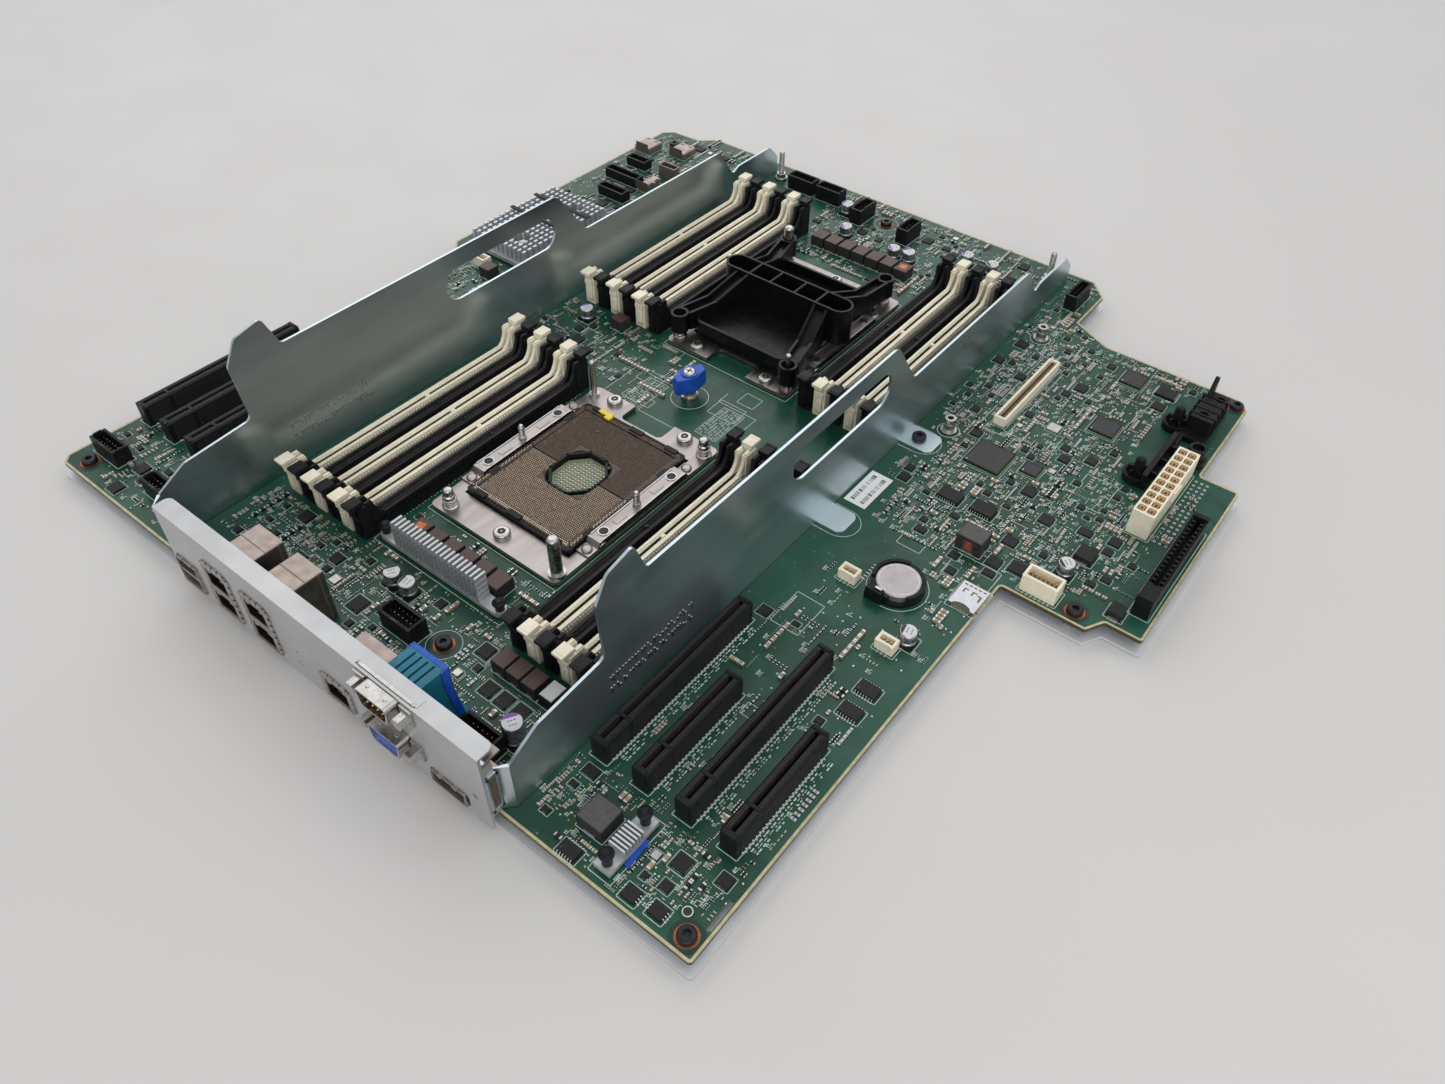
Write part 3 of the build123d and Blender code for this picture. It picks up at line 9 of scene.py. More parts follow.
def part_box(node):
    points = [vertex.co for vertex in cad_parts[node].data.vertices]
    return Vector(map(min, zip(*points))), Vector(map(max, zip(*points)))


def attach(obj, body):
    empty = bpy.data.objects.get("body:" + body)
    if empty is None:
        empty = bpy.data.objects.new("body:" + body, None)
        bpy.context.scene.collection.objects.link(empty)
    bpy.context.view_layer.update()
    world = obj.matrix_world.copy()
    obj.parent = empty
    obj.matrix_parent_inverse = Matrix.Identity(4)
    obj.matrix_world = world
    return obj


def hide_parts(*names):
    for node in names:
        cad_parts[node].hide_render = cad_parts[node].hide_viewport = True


# A server system board on its tray. The CAD nodes are the frame; this script gives them their
# materials and adds the fine pieces: leads, pins, contacts, printed lines and small chips.
# Sizes in this script are millimetres, in the frame's own axes; MM turns them into metres.

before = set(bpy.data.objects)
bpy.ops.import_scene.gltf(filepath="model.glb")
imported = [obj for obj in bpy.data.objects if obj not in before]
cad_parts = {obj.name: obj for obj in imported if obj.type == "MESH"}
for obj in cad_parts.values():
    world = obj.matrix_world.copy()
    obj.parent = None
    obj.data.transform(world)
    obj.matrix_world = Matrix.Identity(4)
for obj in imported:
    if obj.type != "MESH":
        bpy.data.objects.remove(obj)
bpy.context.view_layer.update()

MM = 0.001
ROOT = "board_assembly"
random.seed(11)


# ---- shader building blocks ----
class Shader:
    """A material with one Principled shader, and short names for the nodes that feed it."""

    def __init__(self, name, metallic=0.0, roughness=0.5, coat=0.0, ior=1.5):
        self.material = bpy.data.materials.new(name)
        self.material.use_nodes = True
        self.tree = self.material.node_tree
        self.tree.nodes.clear()
        output = self.tree.nodes.new("ShaderNodeOutputMaterial")
        self.bsdf = self.tree.nodes.new("ShaderNodeBsdfPrincipled")
        self.tree.links.new(self.bsdf.outputs["BSDF"], output.inputs["Surface"])
        self.bsdf.inputs["Metallic"].default_value = metallic
        self.bsdf.inputs["Roughness"].default_value = roughness
        self.bsdf.inputs["Coat Weight"].default_value = coat
        self.bsdf.inputs["IOR"].default_value = ior
        place = self.tree.nodes.new("ShaderNodeTexCoord")
        scale = self.tree.nodes.new("ShaderNodeVectorMath")
        scale.operation = "SCALE"
        scale.inputs["Scale"].default_value = 1 / MM
        self.tree.links.new(place.outputs["Object"], scale.inputs[0])
        self.mm = scale.outputs[0]

    def put(self, socket, value):
        if isinstance(value, bpy.types.NodeSocket):
            self.tree.links.new(value, socket)
        else:
            socket.default_value = value

    def noise(self, size, detail=3.0, stretch=None):
        """Cloudy noise whose features are about size millimetres across."""
        node = self.tree.nodes.new("ShaderNodeTexNoise")
        node.inputs["Scale"].default_value = 1 / size
        node.inputs["Detail"].default_value = detail
        source = self.mm
        if stretch:
            vector = self.tree.nodes.new("ShaderNodeVectorMath")
            vector.operation = "MULTIPLY"
            self.put(vector.inputs[0], source)
            vector.inputs[1].default_value = stretch
            source = vector.outputs[0]
        self.put(node.inputs["Vector"], source)
        return node.outputs["Fac"]

    def cells(self, size, metric="EUCLIDEAN"):
        """Voronoi cells about size millimetres across, as (distance, random colour)."""
        node = self.tree.nodes.new("ShaderNodeTexVoronoi")
        node.distance = metric
        node.inputs["Scale"].default_value = 1 / size
        self.put(node.inputs["Vector"], self.mm)
        return node.outputs["Distance"], node.outputs["Color"]

    def math(self, operation, a, b=0.0, c=0.0):
        node = self.tree.nodes.new("ShaderNodeMath")
        node.operation = operation
        for socket, value in zip(node.inputs, (a, b, c)):
            self.put(socket, value)
        return node.outputs[0]

    def split(self, vector):
        node = self.tree.nodes.new("ShaderNodeSeparateXYZ")
        self.put(node.inputs[0], vector)
        return node.outputs

    def ramp(self, value, low, high, start=0.0, end=1.0):
        """value from low..high mapped smoothly onto start..end."""
        node = self.tree.nodes.new("ShaderNodeMapRange")
        node.interpolation_type = "SMOOTHSTEP"
        for socket, number in zip(node.inputs, (value, low, high, start, end)):
            self.put(socket, number)
        return node.outputs[0]

    def mix(self, factor, a, b):
        node = self.tree.nodes.new("ShaderNodeMix")
        node.data_type = "RGBA"
        self.put(node.inputs["Factor"], factor)
        for socket, value in zip(node.inputs[6:8], (a, b)):
            self.put(socket, value if isinstance(value, bpy.types.NodeSocket) else (*value, 1))
        return node.outputs[2]

    def bump(self, height, depth, strength=1.0):
        node = self.tree.nodes.new("ShaderNodeBump")
        node.inputs["Distance"].default_value = depth * MM
        node.inputs["Strength"].default_value = strength
        self.put(node.inputs["Height"], height)
        self.put(self.bsdf.inputs["Normal"], node.outputs[0])

    def colour(self, value):
        self.put(self.bsdf.inputs["Base Color"], value)

    def roughness(self, value):
        self.put(self.bsdf.inputs["Roughness"], value)


def shade(colour, factor):
    return tuple(min(1.0, channel * factor) for channel in colour)


def mottled(name, colour, spread=0.12, size=5.0, rough=(0.35, 0.5), metallic=0.0, coat=0.0,
            grain=0.25, depth=0.02, stretch=None, ior=1.42):
    """A moulded, cast or plated finish: soft colour and gloss drift over a fine surface grain."""
    look = Shader(name, metallic, rough[0], coat, ior)
    drift = look.noise(size, 4.0, stretch)
    look.colour(look.mix(look.ramp(drift, 0.3, 0.7), shade(colour, 1 - spread),
                         shade(colour, 1 + spread)))
    look.roughness(look.ramp(look.noise(size * 0.6, 5.0, stretch), 0.3, 0.7, *rough))
    look.bump(look.noise(grain, 2.0), depth)
    return look.material


def galvanised():
    """Smooth bluish zinc with soft clouds and very faint rolling lines."""
    look = Shader("zinc_sheet", 1.0, 0.34)
    cloud = look.math("ADD", look.math("MULTIPLY", look.noise(60.0, 5.0, (1, 0.4, 1.3)), 0.8),
                      look.math("MULTIPLY", look.noise(7.0, 3.0, (1, 0.12, 1)), 0.2))
    look.colour(look.mix(look.ramp(cloud, 0.32, 0.68), (0.44, 0.52, 0.56), (0.62, 0.70, 0.735)))
    look.roughness(look.ramp(cloud, 0.3, 0.7, 0.27, 0.4))
    look.bump(look.noise(0.5, 2.0), 0.008, 0.5)
    return look.material


def solder_mask():
    """Green mask over routed copper: patches of parallel traces, copper planes and vias."""
    look = Shader("solder_mask", 0.0, 0.34, 0.0, 1.4)
    axes = look.split(look.mm)
    x, y, z = axes[0], axes[1], axes[2]
    patch = look.split(look.cells(26.0, "CHEBYCHEV")[1])
    along = look.math("ADD", x, look.math("MULTIPLY", y, look.ramp(patch[0], 0.33, 0.34)))
    across = look.math("SUBTRACT", y, look.math("MULTIPLY", x, look.ramp(patch[0], 0.74, 0.75)))
    pick = look.math("GREATER_THAN", patch[1], 0.5)
    lane = look.math("ADD", look.math("MULTIPLY", along, pick),
                     look.math("MULTIPLY", across, look.math("SUBTRACT", 1.0, pick)))
    stripe = look.ramp(look.math("PINGPONG", lane, 0.62), 0.24, 0.4)
    routed = look.ramp(look.noise(19.0, 3.0), 0.5, 0.56)
    trace = look.math("MULTIPLY", stripe, routed)
    distance, tint = look.cells(2.7)
    tint = look.split(tint)
    chosen = look.math("MULTIPLY", look.math("GREATER_THAN", tint[0], 0.72),
                       look.ramp(look.noise(14.0, 2.0), 0.5, 0.55))
    via = look.math("MULTIPLY", look.ramp(distance, 0.16, 0.12), chosen)
    mask = look.mix(look.ramp(look.noise(60.0, 2.0), 0.35, 0.65), (0.005, 0.043, 0.024),
                    (0.009, 0.066, 0.040))
    mask = look.mix(look.math("MULTIPLY", trace, 0.8), mask, (0.016, 0.094, 0.058))
    mask = look.mix(via, mask, (0.13, 0.22, 0.16))
    normal = look.tree.nodes.new("ShaderNodeNewGeometry")
    upright = look.math("ABSOLUTE", look.split(normal.outputs["Normal"])[2])
    layers = look.ramp(look.math("PINGPONG", z, 0.25), 0.08, 0.16)
    laminate = look.mix(layers, (0.022, 0.018, 0.010), (0.085, 0.068, 0.035))
    look.colour(look.mix(look.math("GREATER_THAN", upright, 0.5), laminate, mask))
    look.roughness(look.ramp(look.noise(11.0, 4.0), 0.3, 0.7, 0.27, 0.4))
    look.bump(look.math("ADD", trace, via), 0.03, 0.6)
    return look.material


def ferrite_top():
    """Brown pressed block with fine grinding lines."""
    look = Shader("ferrite_top", 0.0, 0.5)
    lines = look.noise(1.2, 4.0, (1, 0.08, 1))
    look.colour(look.mix(look.ramp(lines, 0.3, 0.7), (0.045, 0.019, 0.013), (0.085, 0.040, 0.027)))
    look.roughness(look.ramp(lines, 0.3, 0.7, 0.35, 0.55))
    look.bump(lines, 0.06)
    return look.material


def printed_barcode():
    """White paper with generic grey bars in two bands and a plain margin."""
    look = Shader("paper_print", 0.0, 0.55)
    axes = look.split(look.mm)
    bars = look.math("GREATER_THAN", look.noise(0.55, 1.0, (0.01, 1, 1)), 0.5)
    low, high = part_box("board_label")
    middle = 500 * (low[0] + high[0])
    band = look.math("LESS_THAN", look.math("ABSOLUTE", look.math(
        "SUBTRACT", look.math("ABSOLUTE", look.math("SUBTRACT", axes[0], middle)), 2.6)), 1.1)
    inside = look.math("LESS_THAN", look.math("ABSOLUTE", look.math(
        "SUBTRACT", axes[1], 500 * (low[1] + high[1]))), 10.2)
    ink = look.math("MULTIPLY", bars, look.math("MULTIPLY", band, inside))
    paper = look.mix(look.noise(3.0), (0.72, 0.72, 0.71), (0.78, 0.78, 0.77))
    look.colour(look.mix(ink, paper, (0.12, 0.12, 0.13)))
    return look.material


MATERIALS = {
    "zinc": galvanised(),
    "tray": mottled("tray_sheet", (0.66, 0.67, 0.69), 0.05, 30.0, (0.4, 0.5), 0.3),
    "panel": mottled("panel_sheet", (0.515, 0.52, 0.525), 0.05, 22.0, (0.42, 0.52), 0.85, 0,
                     0.5, 0.03),
    "mask": solder_mask(),
    "black_metal_and_hole_shade": mottled("black_oxide_and_hole_shade", (0.016, 0.016, 0.018), 0.3, 2.0, (0.3, 0.42), 0.3),
    "bright": mottled("bright_nickel", (0.47, 0.45, 0.43), 0.08, 3.0, (0.2, 0.34), 1.0),
    "nickel": mottled("satin_nickel", (0.36, 0.325, 0.31), 0.1, 9.0, (0.3, 0.44), 1.0, 0,
                      0.3, 0.02, (1, 0.15, 1)),
    "shell": mottled("tinned_shell", (0.36, 0.30, 0.265), 0.1, 6.0, (0.34, 0.46), 0.9),
    # a darker copy of the tinned shell: painted shade on jack side walls, seams and header pins
    "shell_shaded": mottled("tinned_shaded", (0.20, 0.17, 0.145), 0.15, 6.0, (0.35, 0.5), 0.9),
    "teal": mottled("teal_nylon", (0.008, 0.13, 0.20), 0.12, 4.0, (0.3, 0.42)),
    "royal": mottled("royal_nylon", (0.010, 0.075, 0.42), 0.15, 4.0, (0.3, 0.44)),
    "black": mottled("black_nylon", (0.008, 0.008, 0.009), 0.25, 3.0, (0.36, 0.5), 0, 0,
                     0.35, 0.03, None, 1.3),
    "gloss_black": mottled("gloss_black", (0.005, 0.005, 0.006), 0.2, 9.0, (0.24, 0.38), 0, 0,
                           1.2, 0.02, None, 1.28),
    "ivory": mottled("ivory_nylon", (0.80, 0.74, 0.58), 0.05, 6.0, (0.36, 0.5)),
    "tan": mottled("tan_cavity", (0.52, 0.33, 0.16), 0.15, 2.0, (0.4, 0.6)),
    # the contact metal twice: a light copy and a much darker copy, painted light and painted shade
    # on the same contacts
    "contact": mottled("contact_metal", (0.68, 0.54, 0.40), 0.25, 0.9, (0.3, 0.5), 0.8),
    "contact_shaded": mottled("contact_metal_shaded", (0.17, 0.11, 0.075), 0.25, 0.9, (0.35, 0.5), 0.8),
    # dark contact carrier, also used as painted shade in holes, slots, windows and a shadow line
    "field": mottled("contact_carrier_and_painted_shade", (0.085, 0.066, 0.050), 0.2, 2.0, (0.5, 0.65)),
    "yellow": mottled("yellow_nylon", (0.80, 0.58, 0.02), 0.06, 2.0, (0.3, 0.4)),
    "alu": mottled("fin_aluminium", (0.46, 0.47, 0.49), 0.08, 5.0, (0.4, 0.5), 0.45, 0, 0.3,
                   0.02, (1, 1, 0.2)),
    # a lighter aluminium for fin tops, edges and ends: partly the bright cut metal, partly painted
    # highlight
    "alu_bright": mottled("bright_aluminium_and_highlight", (0.58, 0.59, 0.61), 0.05, 3.0, (0.34, 0.45), 0.7),
    "ferrite": mottled("ferrite_body", (0.028, 0.026, 0.026), 0.25, 1.4, (0.45, 0.6)),
    "ferrite_top": ferrite_top(),
    "orange": mottled("orange_mark", (0.62, 0.16, 0.04), 0.15, 1.5, (0.4, 0.55)),
    "can": mottled("can_aluminium", (0.46, 0.46, 0.48), 0.06, 3.0, (0.24, 0.36), 1.0),
    "can_top": mottled("can_print", (0.60, 0.60, 0.61), 0.04, 2.0, (0.4, 0.5)),
    "ink": mottled("black_ink", (0.03, 0.03, 0.035), 0.2, 1.0, (0.4, 0.5)),
    "purple": mottled("purple_ink", (0.20, 0.06, 0.42), 0.1, 1.0, (0.4, 0.5)),
    "epoxy": mottled("chip_epoxy", (0.014, 0.0135, 0.014), 0.18, 1.2, (0.42, 0.58), 0, 0, 0.15,
                     0.02, None, 1.33),
    "die_label": mottled("chip_lid", (0.030, 0.029, 0.031), 0.12, 2.0, (0.4, 0.5)),
    "silk": mottled("silk_print", (0.54, 0.62, 0.57), 0.12, 2.0, (0.5, 0.65)),
    "solder": mottled("solder_tin", (0.60, 0.61, 0.60), 0.14, 0.8, (0.3, 0.46), 0.85),
    "copper": mottled("bare_copper", (0.34, 0.13, 0.06), 0.15, 0.9, (0.36, 0.55), 0.9),
    "dark_mask_and_hole_shade": mottled("dark_mask_and_hole_shade", (0.006, 0.032, 0.022), 0.15, 2.0, (0.3, 0.4)),
    "gold": mottled("gold_flash", (0.48, 0.31, 0.11), 0.1, 1.0, (0.28, 0.42), 1.0),
    "tan_chip": mottled("ceramic_tan", (0.33, 0.25, 0.17), 0.25, 0.7, (0.4, 0.55)),
    "grey_chip": mottled("ceramic_grey", (0.27, 0.26, 0.26), 0.2, 0.7, (0.4, 0.55)),
    "ferrite_grey": mottled("moulded_grey", (0.075, 0.072, 0.070), 0.12, 1.5, (0.45, 0.6)),
    "paper": mottled("white_cap", (0.64, 0.64, 0.63), 0.03, 3.0, (0.5, 0.6)),
    "barcode": printed_barcode(),
    "cell": mottled("cell_steel", (0.43, 0.395, 0.395), 0.05, 6.0, (0.4, 0.52), 0.85),
    "substrate": mottled("substrate_green", (0.20, 0.30, 0.17), 0.2, 0.8, (0.45, 0.6)),
    "red_wire": mottled("red_enamel", (0.50, 0.05, 0.02), 0.2, 0.7, (0.25, 0.4)),
}


# ---- mesh building blocks ----
class Build:
    """Collects simple solids, in millimetres, into the mesh of one piece."""

    def __init__(self, *materials):
        self.materials = materials
        self.points = []
        self.faces = []
        self.slots = []
        self.smooth = []

    def solid(self, points, faces, material, smooth=False, place=None):
        start = len(self.points)
        if place is not None:
            points = [place @ Vector(point) for point in points]
        self.points += [tuple(point) for point in points]
        self.faces += [[start + index for index in face] for face in faces]
        self.slots += [self.materials.index(material)] * len(faces)
        self.smooth += [smooth] * len(faces)

    def loft(self, rings, material, smooth=True, place=None):
        """Skin over rings of equal point count, closed at both ends."""
        count = len(rings[0])
        points = [point for ring in rings for point in ring]
        faces = [list(range(count))[::-1]]
        for level in range(len(rings) - 1):
            base = level * count
            for i in range(count):
                j = (i + 1) % count
                faces.append([base + i, base + j, base + count + j, base + count + i])
        faces.append([(len(rings) - 1) * count + i for i in range(count)])
        self.solid(points, faces[1:-1], material, smooth, place)
        start = len(self.points) - len(points)
        for cap in (faces[0], faces[-1]):
            self.faces.append([start + index for index in cap])
            self.slots.append(self.materials.index(material))
            self.smooth.append(False)

    def prism(self, outline, low, high, material, place=None):
        self.loft([[(x, y, z) for x, y in outline] for z in (low, high)], material, False, place)

    def box(self, one, other, material, place=None):
        """A box between two opposite corners, given in any order."""
        (x0, x1), (y0, y1), (z0, z1) = (sorted(pair) for pair in zip(one, other))
        self.prism([(x0, y0), (x1, y0), (x1, y1), (x0, y1)], z0, z1, material, place)

    def block(self, x, y, z, width, length, height, material, turn=0.0):
        """A box standing on z, centred on x and y, turned by an angle in degrees."""
        place = Matrix.Translation((x, y, z)) @ Matrix.Rotation(math.radians(turn), 4, "Z")
        self.box((-width / 2, -length / 2, 0), (width / 2, length / 2, height), material, place)

    def lathe(self, x, y, profile, material, sides=24, smooth=True, place=None):
        """A turned solid: profile is (radius, z) from the bottom up."""
        rings = []
        for radius, z in profile:
            ring = []
            for i in range(sides):
                angle = 2 * math.pi * i / sides
                ring.append((x + radius * math.cos(angle), y + radius * math.sin(angle), z))
            rings.append(ring)
        self.loft(rings, material, smooth, place)

    def ring(self, x, y, inner, outer, low, high, material, sides=32, start=0.0, sweep=360.0):
        """A flat ring or an arc of one."""
        whole = sweep >= 360
        steps = sides if whole else sides + 1
        points = []
        for i in range(steps):
            angle = math.radians(start + sweep * i / sides)
            for radius in (inner, outer):
                for z in (low, high):
                    points.append((x + radius * math.cos(angle), y + radius * math.sin(angle), z))
        faces = []
        for i in range(sides):
            a, b = 4 * i, 4 * ((i + 1) % steps)
            for p, q in ((1, 3), (3, 2), (2, 0), (0, 1)):
                faces.append([a + p, a + q, b + q, b + p])
        if not whole:
            faces += [[0, 1, 3, 2], [4 * sides + k for k in (0, 2, 3, 1)]]
        self.solid(points, faces, material)

    def line(self, path, width, z, thick, material, closed=False):
        """A printed line along a path of points."""
        path = [Vector(point) for point in path]
        ends = list(zip(path, path[1:] + path[:1])) if closed else list(zip(path, path[1:]))
        for a, b in ends:
            run = b - a
            if run.length == 0:
                continue
            along = run.normalized() * width / 2
            side = Vector((-along.y, along.x))
            outline = [a - along - side, b + along - side, b + along + side, a - along + side]
            self.prism([(p.x, p.y) for p in outline], z, z + thick, material)

    def piece(self, name, body=ROOT, bevel=0.0, segments=1, replaces=()):
        mesh = bpy.data.meshes.new(name)
        mesh.from_pydata([Vector(point) * MM for point in self.points], [], self.faces)
        for material in self.materials:
            mesh.materials.append(MATERIALS[material])
        mesh.polygons.foreach_set("material_index", self.slots)
        mesh.polygons.foreach_set("use_smooth", self.smooth)
        mesh.update()
        thing = bpy.data.objects.new(name, mesh)
        bpy.context.scene.collection.objects.link(thing)
        if bevel:
            soften(thing, bevel, segments)
        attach(thing, body)
        if replaces:
            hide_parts(*replaces)
        return thing


def soften(thing, width, segments=1):
    """A small rounded edge, so that corners catch the light."""
    modifier = thing.modifiers.new("edges", "BEVEL")
    modifier.width = width * MM
    modifier.segments = segments
    modifier.limit_method = "ANGLE"
    modifier.angle_limit = math.radians(35)


def box_mm(node):
    low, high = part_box(node)
    return Vector(low) / MM, Vector(high) / MM


def solids(node):
    """The boxes of a CAD node's separate solids, in millimetres, as (low, high)."""
    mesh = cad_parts[node].data
    spots = np.empty(len(mesh.vertices) * 3)
    mesh.vertices.foreach_get("co", spots)
    spots = np.round(spots.reshape(-1, 3) / MM, 3)
    unique, weld = np.unique(spots, axis=0, return_inverse=True)
    weld = weld.reshape(-1)
    leader = list(range(len(unique)))

    def find(i):
        while leader[i] != i:
            leader[i] = leader[leader[i]]
            i = leader[i]
        return i

    for polygon in mesh.polygons:
        corners = [find(weld[i]) for i in polygon.vertices]
        for corner in corners[1:]:
            leader[corner] = corners[0]
    groups = {}
    for i in range(len(unique)):
        groups.setdefault(find(i), []).append(i)
    boxes = [(unique[group].min(axis=0), unique[group].max(axis=0)) for group in groups.values()]
    return sorted(boxes, key=lambda box: (round(box[0][0], 1), round(box[0][1], 1)))


def middle(box):
    return (box[0] + box[1]) / 2


def centred(node):
    """Each solid of a node, as (centre x, centre y, low corner, high corner)."""
    for low, high in solids(node):
        x, y = middle((low, high))[:2]
        yield x, y, low, high


def centre_of(node):
    """A node's centre x and y, and its low and high corners, in millimetres."""
    low, high = box_mm(node)
    return (low.x + high.x) / 2, (low.y + high.y) / 2, low, high


def centred_steps(count, pitch):
    """Count offsets, a pitch apart, centred on nought."""
    return [pitch * (i - (count - 1) / 2) for i in range(count)]


def paint(node, material, bevel=0.0):
    """A CAD node keeps its shape and gets its finish."""
    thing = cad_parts[node]
    if not thing.material_slots:
        thing.data.materials.append(MATERIALS[material])
    for place in thing.material_slots:
        place.material = MATERIALS[material]
    if bevel:
        soften(thing, bevel)


def wall_sides(node):
    """The low and high x of a guide bracket's upright wall, above its feet and curl."""
    xs = [v.co.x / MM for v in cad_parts[node].data.vertices if v.co.z / MM > 60]
    return min(xs), max(xs)


BOARD_TOP = box_mm("circuit_board")[1].z
LEFT_WALL = wall_sides("left_guide_bracket")
RIGHT_WALL = wall_sides("right_guide_bracket")

# ---- finishes of the CAD nodes that show as they are ----
for node, finish, edge in (
        ("base_tray", "tray", 0.3), ("tray_standoffs", "bright", 0.0),
        ("circuit_board", "mask", 0.0),
        ("black_screws", "black_metal_and_hole_shade", 0.0), ("left_guide_bracket", "zinc", 0.35),
        ("right_guide_bracket", "zinc", 0.35), ("rear_io_panel", "panel", 0.25),
        ("ethernet_jacks", "shell", 0.3), ("usb_ports", "shell", 0.2),
        ("serial_port", "bright", 0.15), ("vga_port", "bright", 0.15),
        ("dsub_housing", "teal", 0.2), ("dsub_jackscrews", "bright", 0.2),
        ("bolster_plates", "nickel", 0.25), ("bolster_screws", "bright", 0.0),
        ("guide_posts", "bright", 0.0), ("retention_arms", "nickel", 0.15),
        ("socket_frames", "black", 0.25), ("contact_fields", "field", 0.0),
        ("socket_key_tab", "yellow", 0.2), ("cpu_2_cover", "gloss_black", 0.3),
        ("ivory_dimm_sockets", "ivory", 0.3), ("black_dimm_sockets", "black", 0.3),
        ("pcie_slots", "black", 0.15), ("finned_heatsinks", "alu", 0.15),
        ("pin_fin_heatsink", "alu", 0.15), ("chokes", "ferrite", 0.3),
        ("power_connector", "ivory", 0.2), ("edge_connector", "black", 0.15),
        ("cable_guide", "black", 0.3), ("battery_holder", "black", 0.3),
        ("coin_battery", "cell", 0.0), ("card_cages", "shell", 0.15),
        ("ivory_headers", "ivory", 0.2), ("black_headers", "black", 0.2),
        ("chips", "epoxy", 0.12), ("board_label", "barcode", 0.0), ("knob_base", "bright", 0.2)):
    paint(node, finish, edge)


# ---- board edge, printed lines and pads ----
def board_outline():
    """The corner points of the board's top face, in order, in millimetres."""
    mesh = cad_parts["circuit_board"].data
    spots = [(round(v.co.x / MM, 2), round(v.co.y / MM, 2), round(v.co.z / MM, 2))
             for v in mesh.vertices]
    seen = {}
    for polygon in mesh.polygons:
        corners = [spots[i] for i in polygon.vertices]
        if all(abs(corner[2] - BOARD_TOP) < 0.01 for corner in corners):
            for a, b in zip(corners, corners[1:] + corners[:1]):
                key = (min(a, b), max(a, b))
                seen[key] = seen.get(key, 0) + 1
    linked = {}
    for (a, b), uses in seen.items():
        if uses == 1:
            linked.setdefault(a, []).append(b)
            linked.setdefault(b, []).append(a)
    start = min(linked)
    path = [start, linked[start][0]]
    while path[-1] != start:
        following = [spot for spot in linked[path[-1]] if spot != path[-2]]
        path.append(following[0])
    return [(x, y) for x, y, z in path[:-1]]


PRINT_Z = BOARD_TOP + 0.02
PRINT_THICK = 0.04


def board_border():
    """The bare strip of laminate that runs round the board's edge."""
    border = Build("bare_edge")
    outline = board_outline()
    count = len(outline)
    inner = []
    for i in range(count):
        before, here, after = (Vector(outline[(i + k) % count]) for k in (-1, 0, 1))
        a, b = (here - before).normalized(), (after - here).normalized()
        normal = Vector((-(a.y + b.y), a.x + b.x)).normalized()
        inner.append(here + normal * 1.1 / max(0.5, normal.dot(Vector((-a.y, a.x)))))
    area = sum(outline[i - 1][0] * outline[i][1] - outline[i][0] * outline[i - 1][1]
               for i in range(count))
    if area < 0:
        inner = [2 * Vector(spot) - other for spot, other in zip(outline, inner)]
    for i in range(count):
        j = (i + 1) % count
        quad = [outline[i], outline[j], inner[j], inner[i]]
        border.prism([(p[0], p[1]) for p in quad], BOARD_TOP + 0.01, BOARD_TOP + 0.05, "bare_edge")
    border.piece("board_border")


MATERIALS["bare_edge"] = mottled("bare_laminate", (0.46, 0.42, 0.24), 0.15, 3.0, (0.4, 0.55))
board_border()


